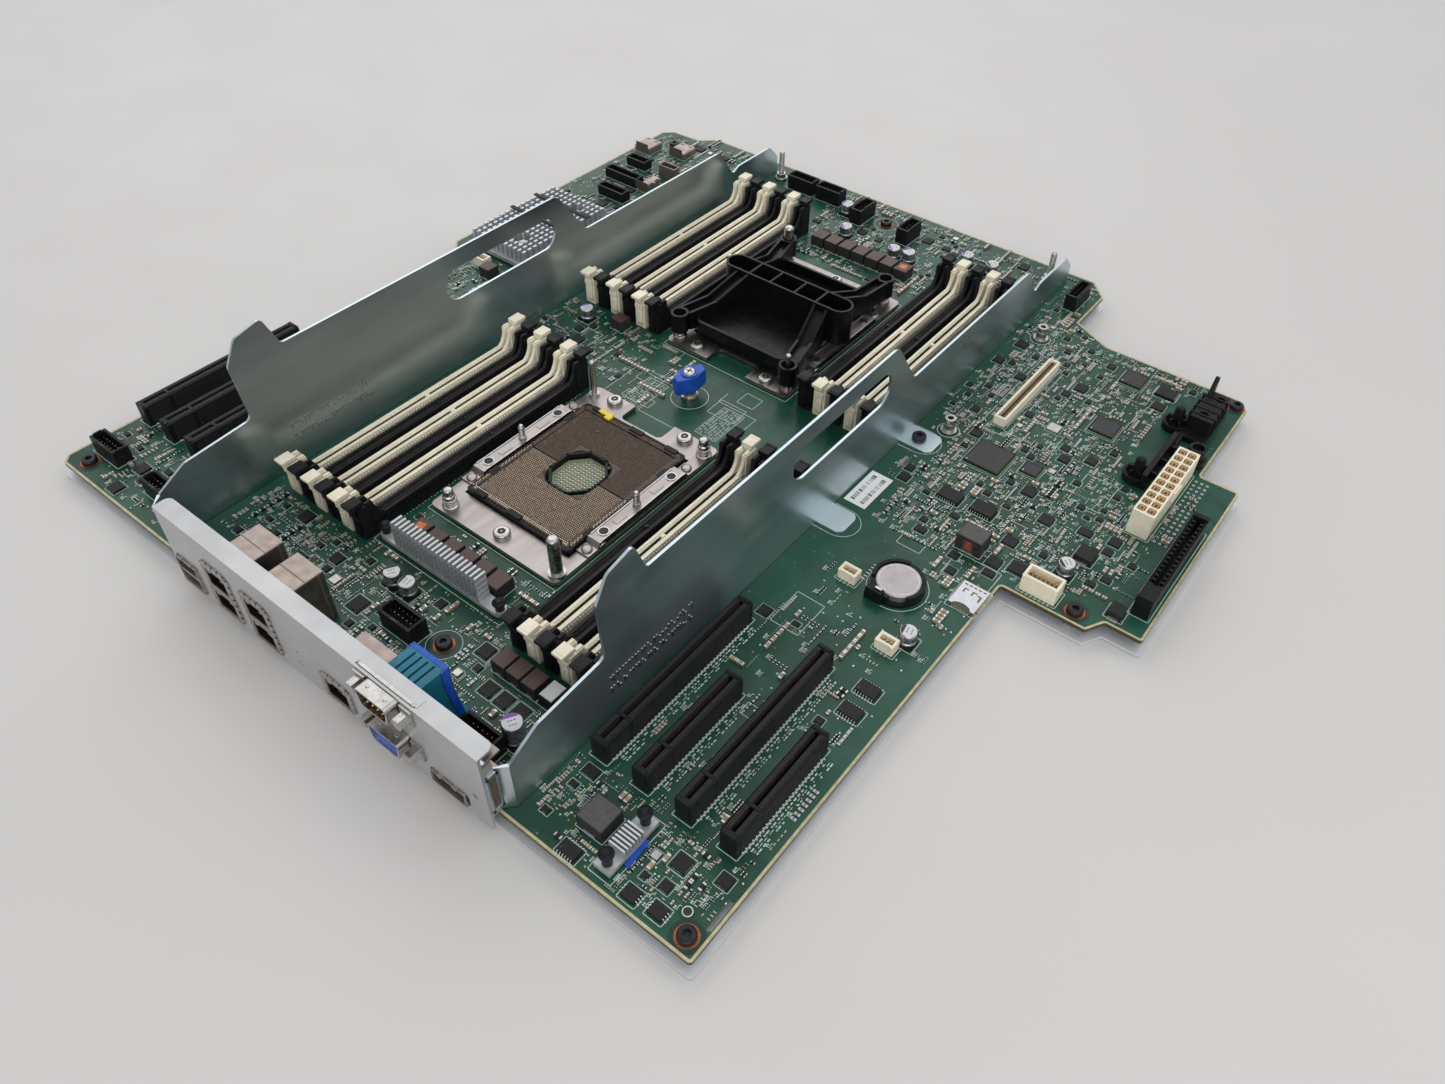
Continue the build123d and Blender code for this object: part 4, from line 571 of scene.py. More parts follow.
def print_lines():
    """White printed outlines round sockets, slots and headers, and short printed marks."""
    ink = Build("silk")
    width = 0.28

    def frame_round(low, high, gap):
        corners = [(low[0] - gap, low[1] - gap), (high[0] + gap, low[1] - gap),
                   (high[0] + gap, high[1] + gap), (low[0] - gap, high[1] + gap)]
        ink.line(corners, width, PRINT_Z, PRINT_THICK, "silk", True)

    for node, gap in (("chips", 1.0), ("chokes", 0.5), ("ivory_headers", 1.0),
                      ("black_headers", 0.8), ("capacitors", 0.5), ("card_cages", 1.0),
                      ("power_connector", 1.0), ("edge_connector", 1.0), ("pcie_slots", 0.9)):
        for low, high in solids(node):
            frame_round(low, high, gap)
    for low, high in solids("finned_heatsinks"):
        frame_round(low, high, 1.6)
    for low, high in solids("battery_holder"):
        x, y = (low[0] + high[0]) / 2, high[1] - 11.9
        ink.ring(x, y, 13.4, 13.7, PRINT_Z, PRINT_Z + PRINT_THICK, "silk", 48)
    for low, high in solids("knob_base") + solids("mezzanine_standoffs"):
        x, y = middle((low, high))[:2]
        outer = 9.6 if high[0] - low[0] > 9 else 5.4
        ink.ring(x, y, outer, outer + 0.3, PRINT_Z, PRINT_Z + PRINT_THICK, "silk", 40)
    plates = solids("bolster_plates")
    for low, high in plates:
        frame_round(low, high, 0.9)
    # two ruled tables and the routing guides between the processor sockets
    near = min(plates, key=lambda box: box[0][1])
    centre = (near[0][0] + near[1][0]) / 2
    for x, y, columns in ((centre - 20, near[1][1] + 13, 7), (centre + 26, near[1][1] + 18, 7)):
        wide, deep = 13.0, 24.0
        frame_round((x - wide / 2, y - deep / 2), (x + wide / 2, y + deep / 2), 0)
        for i in range(columns):
            for j in range(26):
                if random.random() < 0.75:
                    ink.block(x - wide / 2 + 1.2 + i * 1.75, y - deep / 2 + 0.9 + j * 0.88, PRINT_Z,
                              random.uniform(0.7, 1.5), 0.34, PRINT_THICK, "silk")
    for path in ([(centre - 38, near[1][1] + 3), (centre - 38, near[1][1] + 27),
                  (centre - 11, near[1][1] + 27), (centre - 11, near[1][1] + 36)],
                 [(centre + 38, near[1][1] + 3), (centre + 38, near[1][1] + 32),
                  (centre + 14, near[1][1] + 32), (centre + 14, near[1][1] + 40)]):
        ink.line(path, width, PRINT_Z, PRINT_THICK, "silk")
    for low, high in solids("pcie_slots"):
        for column in range(3):
            y = low[1] + 6
            while y < high[1] - 4:
                length = random.uniform(0.6, 1.8)
                ink.block(high[0] + 2.6 + 1.1 * column, y, PRINT_Z, 0.3 if column == 1 else 0.6,
                          length, PRINT_THICK, "silk")
                y += length + random.choice((0.7, 0.9, 3.5))
    for x, y, wide, deep in PRINTED_FRAMES:
        frame_round((x - wide / 2, y - deep / 2), (x + wide / 2, y + deep / 2), 0)
    # round-ended outlines beside the bracket feet
    for node, side in (("right_guide_bracket", 1), ("left_guide_bracket", -1)):
        wall = RIGHT_WALL[1] if side > 0 else LEFT_WALL[0]
        reach = 18.5
        for y in FOOT_YS[node]:
            path = [(wall, y - 9.2)]
            for i in range(13):
                angle = math.radians(-90 + 15 * i)
                path.append((wall + side * (reach - 9.2 + 9.2 * math.cos(angle)),
                             y + 9.2 * math.sin(angle)))
            path.append((wall, y + 9.2))
            ink.line(path, width, PRINT_Z, PRINT_THICK, "silk")
    ink.piece("printed_lines")


# outlines printed on the open board: (centre x, centre y, width, length)
PRINTED_FRAMES = ((-50, -5, 14, 9), (-2, -2, 16, 12), (2, 12, 10, 9), (110, 107.3, 15, 74),
                  (-100, 0, 9, 14), (150, -22, 22, 16), (104, -88, 14, 20), (120, -140, 9, 6),
                  (128, 84, 26, 20), (170, 60, 16, 22), (120, -22, 12, 8), (-44, -22, 18, 6))
FOOT_YS = {"right_guide_bracket": (-31.5, 41.0), "left_guide_bracket": (41.0, -137.0)}


def edge_reach(x, y):
    """How far a point is from the board's edge."""
    outline = board_outline()
    nearest = 99.0
    for a, b in zip(outline, outline[1:] + outline[:1]):
        start, run = Vector(a), Vector(b) - Vector(a)
        share = max(0, min(1, (Vector((x, y)) - start).dot(run) / run.length_squared))
        nearest = min(nearest, (start + run * share - Vector((x, y))).length)
    return nearest - 0.2


def screw_pads():
    """A dark disc, a bare copper ring and a printed circle under each black screw."""
    pads = Build("dark_mask_and_hole_shade", "copper", "silk", "solder")
    for low, high in solids("black_screws"):
        if high[2] > BOARD_TOP + 3:
            continue
        x, y = middle((low, high))[:2]
        top = BOARD_TOP
        reach = edge_reach(x, y)
        pads.ring(x, y, 1.8, min(7.4, reach), top + 0.012, top + 0.03, "dark_mask_and_hole_shade", 40)
        pads.ring(x, y, 1.8, 4.5, top + 0.03, top + 0.06, "copper", 40)
        if reach > 7.8:
            pads.ring(x, y, 7.4, 7.65, top + 0.02, top + 0.06, "silk", 48)
    # plated tooling holes, each filled with a dark plug: painted shade inside the hole
    for x, y in ((151.4, -217.3), (154.0, 5.0), (150.0, -7.0), (65.5, -196.5)):
        pads.ring(x, y, 1.6, 2.0, BOARD_TOP + 0.01, BOARD_TOP + 0.06, "solder", 24)
        pads.lathe(x, y, [(1.6, BOARD_TOP - 0.5), (1.5, BOARD_TOP + 0.02)], "dark_mask_and_hole_shade", 20)
        pads.ring(x, y, 2.0, 3.0, BOARD_TOP + 0.01, BOARD_TOP + 0.04, "dark_mask_and_hole_shade", 24)
    pads.piece("screw_pads")


print_lines()
screw_pads()


# ---- memory sockets and latches ----
RAIL_HEIGHT = 8.0
TOWER_REACH = 9.5
RIB_PITCH = 1.7
DIMM_TAILS = 72
KEY_FROM_END = 63.5
CAP_WIDTH = 4.4


def memory_sockets():
    """Rail shoulders and ribs, the ramps at the towers, the key and the solder tails."""
    details = Build("solder", "black", "ivory", "field")
    for node, tone in (("ivory_dimm_sockets", "ivory"), ("black_dimm_sockets", "black")):
        for low, high in solids(node):
            x = (low[0] + high[0]) / 2
            rail_top = BOARD_TOP + RAIL_HEIGHT
            inner = TOWER_REACH
            for side in (-1, 1):
                # a shoulder along each rail, standing a little proud of it
                details.box((x + side * 2.35 - 0.7, low[1] + inner, rail_top),
                            (x + side * 2.35 + 0.7, high[1] - inner, rail_top + 0.55), tone)
                details.box((x + side * 0.74 - 0.06, low[1] + inner, rail_top - 2.2),
                            (x + side * 0.74 + 0.06, high[1] - inner, rail_top - 0.3), "field")
                for i in range(int((high[1] - low[1] - 2 * inner) / RIB_PITCH)):
                    y = low[1] + inner + 0.9 + RIB_PITCH * i
                    details.block(x + side * 1.35, y, rail_top - 0.02, 0.8, 0.6, 0.3, tone)
                    details.block(x + side * 3.3, y, BOARD_TOP + 5, 0.5, 0.7, 2.2, tone)
                # solder tails on the board beside the rail
                for i in range(DIMM_TAILS):
                    y = low[1] + 8 + (high[1] - low[1] - 16) * i / (DIMM_TAILS - 1)
                    edge = x + side * (high[0] - low[0]) / 2
                    details.block(edge + side * (0.55 + 0.35 * (i % 2)), y, BOARD_TOP, 0.7, 0.6,
                                  0.28, "solder")
            for end, out in ((low[1], 1), (high[1], -1)):
                for side in (-1, 1):
                    profile = [(end + out * reach, BOARD_TOP + rise) for reach, rise in TOWER_RAMP]
                    a, b = x + side * 0.95, x + side * 2.75
                    details.loft([[(px, py, pz) for py, pz in profile] for px in sorted((a, b))],
                                 tone, False)
                # tower shoulders that lead the card in
                for side in (-1, 1):
                    y = end + out * 6.0
                    details.box((x + side * 2.2 - 0.75, y - 1.7, high[2]),
                                (x + side * 2.2 + 0.75, y + 1.7, high[2] + 0.9), tone)
            key_y = high[1] - KEY_FROM_END
            details.box((x - 0.75, key_y - 0.9, rail_top - 3.5),
                        (x + 0.75, key_y + 0.9, rail_top + 0.5), tone)
    details.piece("memory_contacts", bevel=0.12)


# (distance from the socket's end, height): the curve from a tower's top down to the rail
TOWER_RAMP = ((7.6, 7.6), (7.6, 18.0), (8.2, 17.6), (8.7, 15.0), (9.6, 12.4), (11.0, 10.2),
              (13.0, 8.6), (15.4, 8.0), (15.4, 7.6))


def latch(mesh, box, out, tone):
    """One latch: a curved foot, a waisted neck and a wide thumb cap with a finger step."""
    low, high = box
    x = (low[0] + high[0]) / 2
    outer = high[1] if out > 0 else low[1]
    face = outer - out * 3.8
    base = low[2]
    # (height, half width, how far out, how far in), from the socket end's face
    stages = [(0.1, 1.6, 0.3, -2.9), (1.1, 1.75, 1.0, -3.5), (2.4, 1.8, 1.1, -3.7),
              (5.9, 1.8, 1.0, -3.7), (9.9, 1.8, 0.2, -3.7), (13.2, 1.8, 0.7, -3.7),
              (14.9, 1.8, 1.4, -3.7), (16.8, 1.8, 1.5, -3.7), (16.9, 2.9, 2.3, -3.6),
              (17.4, 2.9, 2.4, -3.6), (17.5, 2.9, 3.7, -3.6), (18.9, 2.9, 3.8, -3.6),
              (19.1, 2.7, 3.6, -3.4)]
    rings = []
    for height, half, far_out, far_in in stages:
        y_out, y_in = face + out * far_out, face + out * far_in
        corner = 0.25
        ring = []
        for sx, sy in ((-1, 0), (-1, 1), (1, 1), (1, 0)):
            y = y_in if sy == 0 else y_out
            step = corner * out * (1 if sy == 0 else -1)
            first = (x + sx * half, y + step, base + height)
            second = (x + sx * (half - corner), y, base + height)
            ring += [first, second] if (sx < 0) == (sy == 1) else [second, first]
        rings.append(ring if out > 0 else ring[::-1])
    mesh.loft(rings, tone, False)
    # ears below the neck, a rib down the outer face and a groove across the cap
    mesh.block(x, face + out * 0.75, base + 10.4, 5.2, 1.1, 2.4, tone)
    mesh.block(x, face + out * 0.9, base + 2.6, 1.2, 1.0, 5.6, tone)
    mesh.block(x, face + out * 2.4, base + 18.9, CAP_WIDTH, 0.5, 0.4, tone)


def latches():
    """Each row of three latches, riding on its own body."""
    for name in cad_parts:
        if not name.startswith("latches_"):
            continue
        tone = "ivory" if "_ivory_" in name else "black"
        out = -1 if name.endswith("_rear") else 1
        row = Build(tone)
        for box in solids(name):
            latch(row, box, out, tone)
        body = name + "_row"
        row.piece("looks_" + name, body, 0.35, 2, (name,))


memory_sockets()
latches()


# ---- expansion slots ----
def expansion_slots():
    """Ribs and spring contacts along each slot, and its solder tails."""
    ribs = Build("black", "can_top", "field", "die_label")
    pitch = 1.0
    for low, high in solids("pcie_slots"):
        x = (low[0] + high[0]) / 2
        top = high[2]
        for first, last in ((low[1] + 2.6, low[1] + 13.2), (low[1] + 15.6, high[1] - 2.8)):
            steps = int((last - first) / pitch)
            for i in range(steps + 1):
                y = first + pitch * i
                for side in (-1, 1):
                    ribs.block(x + side * 2.1, y, top - 0.02, 1.5, 0.4, 0.3, "die_label")
                    ribs.block(x + side * 3.85, y, BOARD_TOP + 1.2, 0.2, 0.45, 8.6, "die_label")
                    ribs.block(x + side * 0.9, y, top - 3.2, 0.16, 0.45, 2.4, "field")
        for side in (-1, 1):
            for i in range(int((high[1] - low[1] - 6) / pitch)):
                y = low[1] + 3 + pitch * i
                ribs.block(x + side * (4.5 + 0.4 * (i % 2)), y, BOARD_TOP, 1.0, 0.6, 0.35,
                           "can_top")
        # end posts and the card key
        ribs.block(x, low[1] + 14.4, top - 0.02, 5.4, 1.3, 0.3, "black")
        ribs.block(x, low[1] + 0.6, top - 6.5, 5.6, 1.6, 6.9, "black")
        ribs.block(x, high[1] - 1.0, top - 2.0, 5.6, 1.5, 2.5, "black")
        ribs.block(x, high[1] + 0.6, BOARD_TOP, 4.2, 1.6, 6.5, "black")
    ribs.piece("slot_contacts", bevel=0.06)


expansion_slots()


# ---- processor sockets ----
def contact_grids():
    """Fine spring contacts over both halves of each socket, and the parts in its centre bay."""
    pins = Build("contact", "contact_shaded", "field", "black", "substrate", "tan_chip", "solder")
    pitch = 1.02
    halves = solids("contact_fields")
    for low, high in halves:
        x, y = middle((low, high))[:2]
        partner = [box for box in halves if box[0][1] != low[1] and
                   abs(middle(box)[1] - y) < high[1] - low[1] + 5]
        centre_y = (y + middle(partner[0])[1]) / 2
        # near half of the grid in the light copy, far half in the dark copy: painted light and shade
        tone = "contact" if y < centre_y else "contact_shaded"
        columns = int((high[0] - low[0] - 2) / pitch)
        rows = int((high[1] - low[1] - 1) / pitch)
        for i in range(columns):
            for j in range(rows):
                px = low[0] + 1.2 + pitch * i + (0.5 if j % 2 else 0)
                py = low[1] + 0.8 + pitch * j
                if abs(px - x) < 13.2 and abs(py - centre_y) < 14.6:
                    continue
                if abs(px - x) > 27.5 and (j + i) % 5 == 0:
                    continue
                z = high[2]
                tip = 0.5 if y < centre_y else 0.42
                pins.loft([[(px - .3, py - .2, z), (px + .3, py - .2, z), (px + .3, py + .2, z),
                            (px - .3, py + .2, z)],
                           [(px - .05, py - .1, z + tip), (px + .4, py - .1, z + tip),
                            (px + .4, py + .1, z + tip), (px - .05, py + .1, z + tip)]],
                          tone, False)
        for mark_x, mark_y in ((-13, 0.25), (9, -0.2)):
            pins.block(x + mark_x, y + mark_y * (high[1] - low[1]), high[2], 1.5, 1.5, 0.6, "field",
                       45)
    for x, y, low, high in centred("socket_frames"):
        rim = high[2]
        # contacts that reach out over the rim, its notched outer edge and its lugs
        for side in (-1, 1):
            # rim contacts on the near side in the light copy, on the far side in the dark copy:
            # painted light and shade
            tone = "contact" if side < 0 else "contact_shaded"
            for half in (-1, 1):
                pins.block(x + half * 30.7, y + side * 18.6, rim - 0.2, 2.2, 36.6, 0.3, "field")
                for i in range(36):
                    pins.block(x + half * (30.5 + 0.5 * (i % 2)), y + side * (1 + pitch * i), rim,
                               0.6, 0.4, 0.45, tone)
            pins.block(x, y + side * 37.5, rim - 0.2, 60.6, 2.6, 0.3, "field")
            for j in range(2):
                for i in range(58):
                    pins.block(x - 29.4 + pitch * i + 0.5 * j, y + side * (36.8 + pitch * j), rim,
                               0.6, 0.4, 0.45, tone)
            for i in range(34):
                pins.block(x + side * 31.9, y - 34 + 2.06 * i, rim - 0.5, 0.8, 1.0, 0.9, "black")
            for i in range(27):
                pins.block(x - 27 + 2.06 * i, y + side * 39.0, rim - 0.5, 1.0, 0.8, 0.9, "black")
            for lug_x, lug_w in ((24, 7), (-24, 5), (2, 8)):
                pins.block(x + side * lug_x, y + side * 38.9, rim - 1, lug_w, 2.8, 1.9, "black")
                pins.block(x + side * lug_x, y + side * 36.9, rim - 0.5, lug_w - 3, 1.6, 0.9,
                           "black")
            for lug_y in (-24, 26):
                pins.block(x + side * 31.2, y - side * lug_y, rim - 1, 2.4, 6, 1.5, "black")
        # eight-sided bay lined with a dark wall, with a pale grid of parts at its floor
        outline = []
        for i in range(8):
            angle = math.radians(22.5 + 45 * i)
            outline.append((x + 13.6 * math.cos(angle), y + 15.0 * math.sin(angle)))
        for i in range(8):
            a, b = Vector(outline[i - 1]), Vector(outline[i])
            pins.line([a, b], 1.1, rim - 2.0, 2.1, "black")
        pins.prism([(px * 0.96 + x * 0.04, py * 0.96 + y * 0.04) for px, py in outline],
                   BOARD_TOP + 0.02, BOARD_TOP + 1.7, "substrate")
        for i in range(12):
            for j in range(14):
                px, py = x - 10.4 + 1.9 * i, y - 12 + 1.85 * j
                if abs(px - x) / 12.2 + abs(py - y) / 13.6 > 1.25:
                    continue
                pins.block(px, py, BOARD_TOP + 1.7, 1.0, 0.7, 0.6, "tan_chip", 45)
                pins.block(px + 0.8, py + 0.75, BOARD_TOP + 1.7, 0.5, 0.5, 0.5, "solder", 45)
    pins.piece("socket_contacts")


def threaded(mesh, x, y, low, high, radius, material, pitch=0.8, sides=20):
    """A threaded rod with a tapered tip."""
    profile = [(radius * 0.86, low)]
    z = low
    while z < high - 1.2:
        profile += [(radius, z + pitch * 0.5), (radius * 0.86, z + pitch)]
        z += pitch
    profile += [(radius * 0.8, high - 0.8), (radius * 0.55, high)]
    mesh.lathe(x, y, profile, material, sides, False)


def studs():
    """Spring studs, threaded studs and standoffs, turned with their threads and flats."""
    metal = Build("bright", "field")
    for x, y, low, high in centred("bolster_studs"):
        z = low[2]
        if high[0] - low[0] > 6:
            metal.lathe(x, y, [(3.9, z), (3.9, z + 0.8), (2.6, z + 1.2), (2.4, z + 2.0)], "bright")
            for turn in range(3):
                base = z + 1.6 + 1.15 * turn
                metal.lathe(x, y, [(2.7, base), (3.35, base + 0.3), (3.35, base + 0.65),
                                   (2.7, base + 0.95)], "bright")
            metal.lathe(x, y, [(2.2, z + 4.9), (2.9, z + 5.2), (2.9, z + 6.4), (2.1, z + 6.9),
                               (2.3, z + 7.4), (2.45, z + 9.2), (1.9, z + 10.2), (1.1, z + 10.4)],
                        "bright")
        else:
            metal.lathe(x, y, [(2.1, z), (2.1, z + 1.2), (1.7, z + 1.6)], "bright", 6, False)
            threaded(metal, x, y, z + 1.5, high[2], 1.6, "bright")
    for x, y, low, high in centred("alignment_studs"):
        z = low[2]
        metal.lathe(x, y, [(4.2, z), (4.2, z + 1.3), (3.9, z + 1.6)], "bright")
        metal.lathe(x, y, [(3.3, z + 1.6), (3.4, z + 1.9), (3.4, z + 3.9), (3.1, z + 4.2)],
                    "bright", 6, False)
        threaded(metal, x, y, z + 4.2, high[2], 1.9, "bright")
    for x, y, low, high in centred("mezzanine_standoffs"):
        z = low[2]
        for outer, start, end in ((4.2, z, z + 1.1), (2.9, z + 1.1, z + 5.2),
                                  (2.5, z + 5.2, z + 5.8), (2.9, z + 5.8, high[2])):
            metal.ring(x, y, 1.45, outer, start, end, "bright", 32)
        # a dark disc at the bottom of the bore: painted shade
        metal.lathe(x, y, [(1.4, z + 0.1), (1.4, z + 0.3)], "field")
    metal.piece("turned_studs", bevel=0.1,
                replaces=("bolster_studs", "alignment_studs", "mezzanine_standoffs"))
    rivets = Build("bright", "black_metal_and_hole_shade", "nickel", "field")
    for x, y, low, high in centred("retention_arms"):
        for out in (-1, 1):
            end = y + out * 34.0
            rivets.lathe(x, end, [(2.6, low[2] + 1.0), (2.5, low[2] + 1.7), (1.6, low[2] + 2.2)],
                         "nickel", 20)
            # a bright rim round each hole, and a flat dark disc inside it: painted shade standing
            # for the hole
            rivets.ring(x, y + out * 23, 2.2, 2.8, high[2] - 0.05, high[2] + 0.4, "bright", 28)
            rivets.lathe(x, y + out * 23, [(2.2, high[2] + 0.02), (2.1, high[2] + 0.08)],
                         "black_metal_and_hole_shade", 16)
            # folded edges of the leaf, and a thin dark strip on the plate at its sides: painted
            # shadow
            rivets.box((x + out * 3.45 - 0.25, y - 27.5, high[2] - 0.4),
                       (x + out * 3.45 + 0.25, y + 27.5, high[2] + 0.35), "bright")
            rivets.box((x + out * 4.0 - 0.25, y - 31, low[2] + 0.01),
                       (x + out * 4.0 + 0.25, y + 31, low[2] + 0.05), "field")
            rivets.block(x, y + out * 12.5, high[2] - 0.02, 3.0, 7.0, 0.25, "nickel")
            # rolled tab beside the arm's foot
            rivets.loft([[(x - out * 2.8 + dx, y + out * (25.5 + dy), low[2] + dz)
                          for dx, dz in ((-1.4, 0.2), (1.4, 0.2), (1.2, 1.5), (0, 2.0), (-1.2, 1.5))]
                         for dy in (0, 4.2)], "bright", True)
    for x, y, low, high in centred("bolster_screws"):
        rivets.ring(x, y, 2.0, 2.5, high[2] - 0.5, high[2] + 0.05, "bright", 24)
        # a dark hexagon on each screw head: painted shade of the socket recess
        rivets.lathe(x, y, [(2.05, high[2] + 0.01), (1.95, high[2] + 0.03)], "black_metal_and_hole_shade", 6)
        rivets.lathe(x, y, [(0.45, high[2] - 1.3), (0.4, high[2] + 0.05)], "bright", 10)
    rivets.piece("arm_rivets")


contact_grids()
studs()


# ---- blue wing knob ----
KNOB_TURN = 82
WING_OUTLINE = ((2, -4.8), (8.6, -3.4), (10.2, 1.6), (3.4, 4.6), (-2, 4.8), (-8.6, 3.4),
                (-10.2, -1.6), (-3.4, -4.6))


def wing_knob():
    """The blue knob: two blunt wings round a hub, with a bright recessed screw."""
    x, y, low, high = centre_of("blue_knob")
    knob = Build("royal", "bright", "field")
    outline = []
    for i in range(72):
        way = Vector((math.cos(math.radians(5 * i)), math.sin(math.radians(5 * i))))
        reach = 5.2
        for a, b in zip(WING_OUTLINE, WING_OUTLINE[1:] + WING_OUTLINE[:1]):
            a, run = Vector(a), Vector(b) - Vector(a)
            cross = way.x * run.y - way.y * run.x
            if abs(cross) > 1e-6:
                along = (a.x * run.y - a.y * run.x) / cross
                share = (a.x * way.y - a.y * way.x) / cross
                if along > 0 and 0 <= share <= 1:
                    reach = max(reach, along)
        outline.append((way, reach))
    turn = Matrix.Rotation(math.radians(KNOB_TURN), 2)
    rings = []
    for rise, size in ((0, 0.9), (0.8, 0.97), (3.5, 1.0), (6.6, 0.99), (8.2, 0.93), (9.0, 0.84)):
        ring = []
        for way, reach in outline:
            spot = turn @ (way * (5.0 + (reach - 5.0) * size) * (0.9 + 0.1 * size))
            ring.append((x + spot.x, y + spot.y, low.z + rise))
        rings.append(ring)
    knob.loft(rings, "royal")
    knob.ring(x, y, 3.3, 4.4, low.z + 8.6, low.z + 9.7, "royal", 40)
    knob.lathe(x, y, [(3.2, low.z + 8.8), (3.2, low.z + 9.8), (2.6, low.z + 10.4)], "bright")
    # a dark cross on the screw head: painted shade of its slots
    for turn in (10, 100):
        knob.block(x, y, low.z + 10.36, 4.0, 0.8, 0.1, "field", turn)
    knob.piece("looks_blue_knob", "wing_knob", 0.3, 2, ("blue_knob",))


# ---- capacitors, chokes and heatsinks ----
def can_capacitors():
    """Rolled cans on their black bases, with a coloured segment and plain strokes on top."""
    cans = Build("can", "can_top", "ink", "purple", "black", "solder")
    for count, (low, high) in enumerate(solids("capacitors")):
        x, y = middle((low, high))[:2]
        tall = high[2] - low[2]
        radius = 4.35 if tall > 11 else 3.9
        z, top = low[2], high[2]
        half = radius + 0.1
        cut = 1.6
        base = [(x - half, y - half), (x + half - cut, y - half), (x + half, y - half + cut),
                (x + half, y + half - cut), (x + half - cut, y + half), (x - half, y + half)]
        cans.prism(base, z, z + 1.1, "black")
        for side in (-1, 1):
            cans.block(x, y + side * (half + 0.1), z, 1.2, 0.8, 0.3, "solder")
        cans.lathe(x, y, [(radius - 0.3, z + 1.1), (radius, z + 1.5), (radius, z + 2.5),
                          (radius - 0.35, z + 2.8), (radius - 0.35, z + 3.1), (radius, z + 3.4),
                          (radius, top - 0.6), (radius - 0.25, top - 0.15), (radius - 0.5, top)],
                   "can", 32)
        inner = radius - 0.55
        cans.lathe(x, y, [(inner, top - 0.02), (inner - 0.02, top + 0.03)], "can_top", 32)
        # coloured segment at one side, and plain strokes
        tone = "purple" if tall > 11 or y > 0 and x < 30 else "ink"
        turn = math.radians(150 + 40 * (count % 3))
        span = math.radians(58)
        arc = [(x + inner * math.cos(turn - span + 2 * span * i / 12),
                y + inner * math.sin(turn - span + 2 * span * i / 12)) for i in range(13)]
        cans.prism(arc, top + 0.03, top + 0.06, tone)
        away = Vector((math.cos(turn), math.sin(turn)))
        across = Vector((-away.y, away.x))
        for row in (-0.15, 0.35):
            for step in (-1.1, 0, 1.1):
                spot = Vector((x, y)) - away * radius * row + across * step
                cans.block(spot.x, spot.y, top + 0.03, 0.5, 0.6, 0.03, "ink", math.degrees(turn))
    cans.piece("capacitor_cans", bevel=0.08, replaces=("capacitors",))


def choke_tops():
    """Ground tops and end metal of the chokes, orange marks and one wound inductor."""
    tops = Build("ferrite_top", "orange", "solder", "ferrite_grey", "red_wire", "field")
    boxes = solids("chokes")
    rows = {}
    for box in boxes:
        rows.setdefault(round(middle(box)[1]), []).append(box)
    for row in rows.values():
        for place, (low, high) in enumerate(row):
            x, y = middle((low, high))[:2]
            wide, deep = high[0] - low[0], high[1] - low[1]
            top = high[2]
            for side in (-1, 1):
                tops.block(x, y + side * (deep / 2 + 0.1), BOARD_TOP, wide * 0.45, 0.9, 0.5,
                           "solder")
            if wide > 11:
                tops.block(x, y, top - 0.15, wide - 0.8, deep - 0.8, 0.25, "ferrite_grey")
                continue
            tops.block(x, y, top - 0.2, wide - 0.5, deep - 0.5, 0.35, "ferrite_top")
            marked = len(row) > 5 and (place == 0 if y < 0 else place == len(row) - 1)
            if marked or (len(row) == 1 and y > 20):
                tops.block(x - 0.3, y + 0.4, top + 0.14, wide * 0.5, deep * 0.45, 0.05, "orange",
                           12)
    # the wound inductor shows its red wire through a window in the near side
    low, high = max((box for box in boxes if box[1][2] - BOARD_TOP > 8),
                    key=lambda box: box[0][1])
    x = middle((low, high))[0]
    # a dark box fills the window behind the wire: painted shade
    tops.box((x - 2.4, low[1] - 0.05, low[2] + 1.2), (x + 2.4, low[1] + 0.3, high[2] - 1.6),
             "field")
    for i in range(5):
        z = low[2] + 1.7 + i
        tops.loft([[(x + dx, low[1] - 0.15 + dy, z + dz) for dy, dz in
                    ((0, 0.15), (0.1, 0.7), (0.5, 0.7), (0.5, 0.15))] for dx in (-1.2, 1.2)],
                  "red_wire", False)
    tops.piece("choke_tops", bevel=0.12)


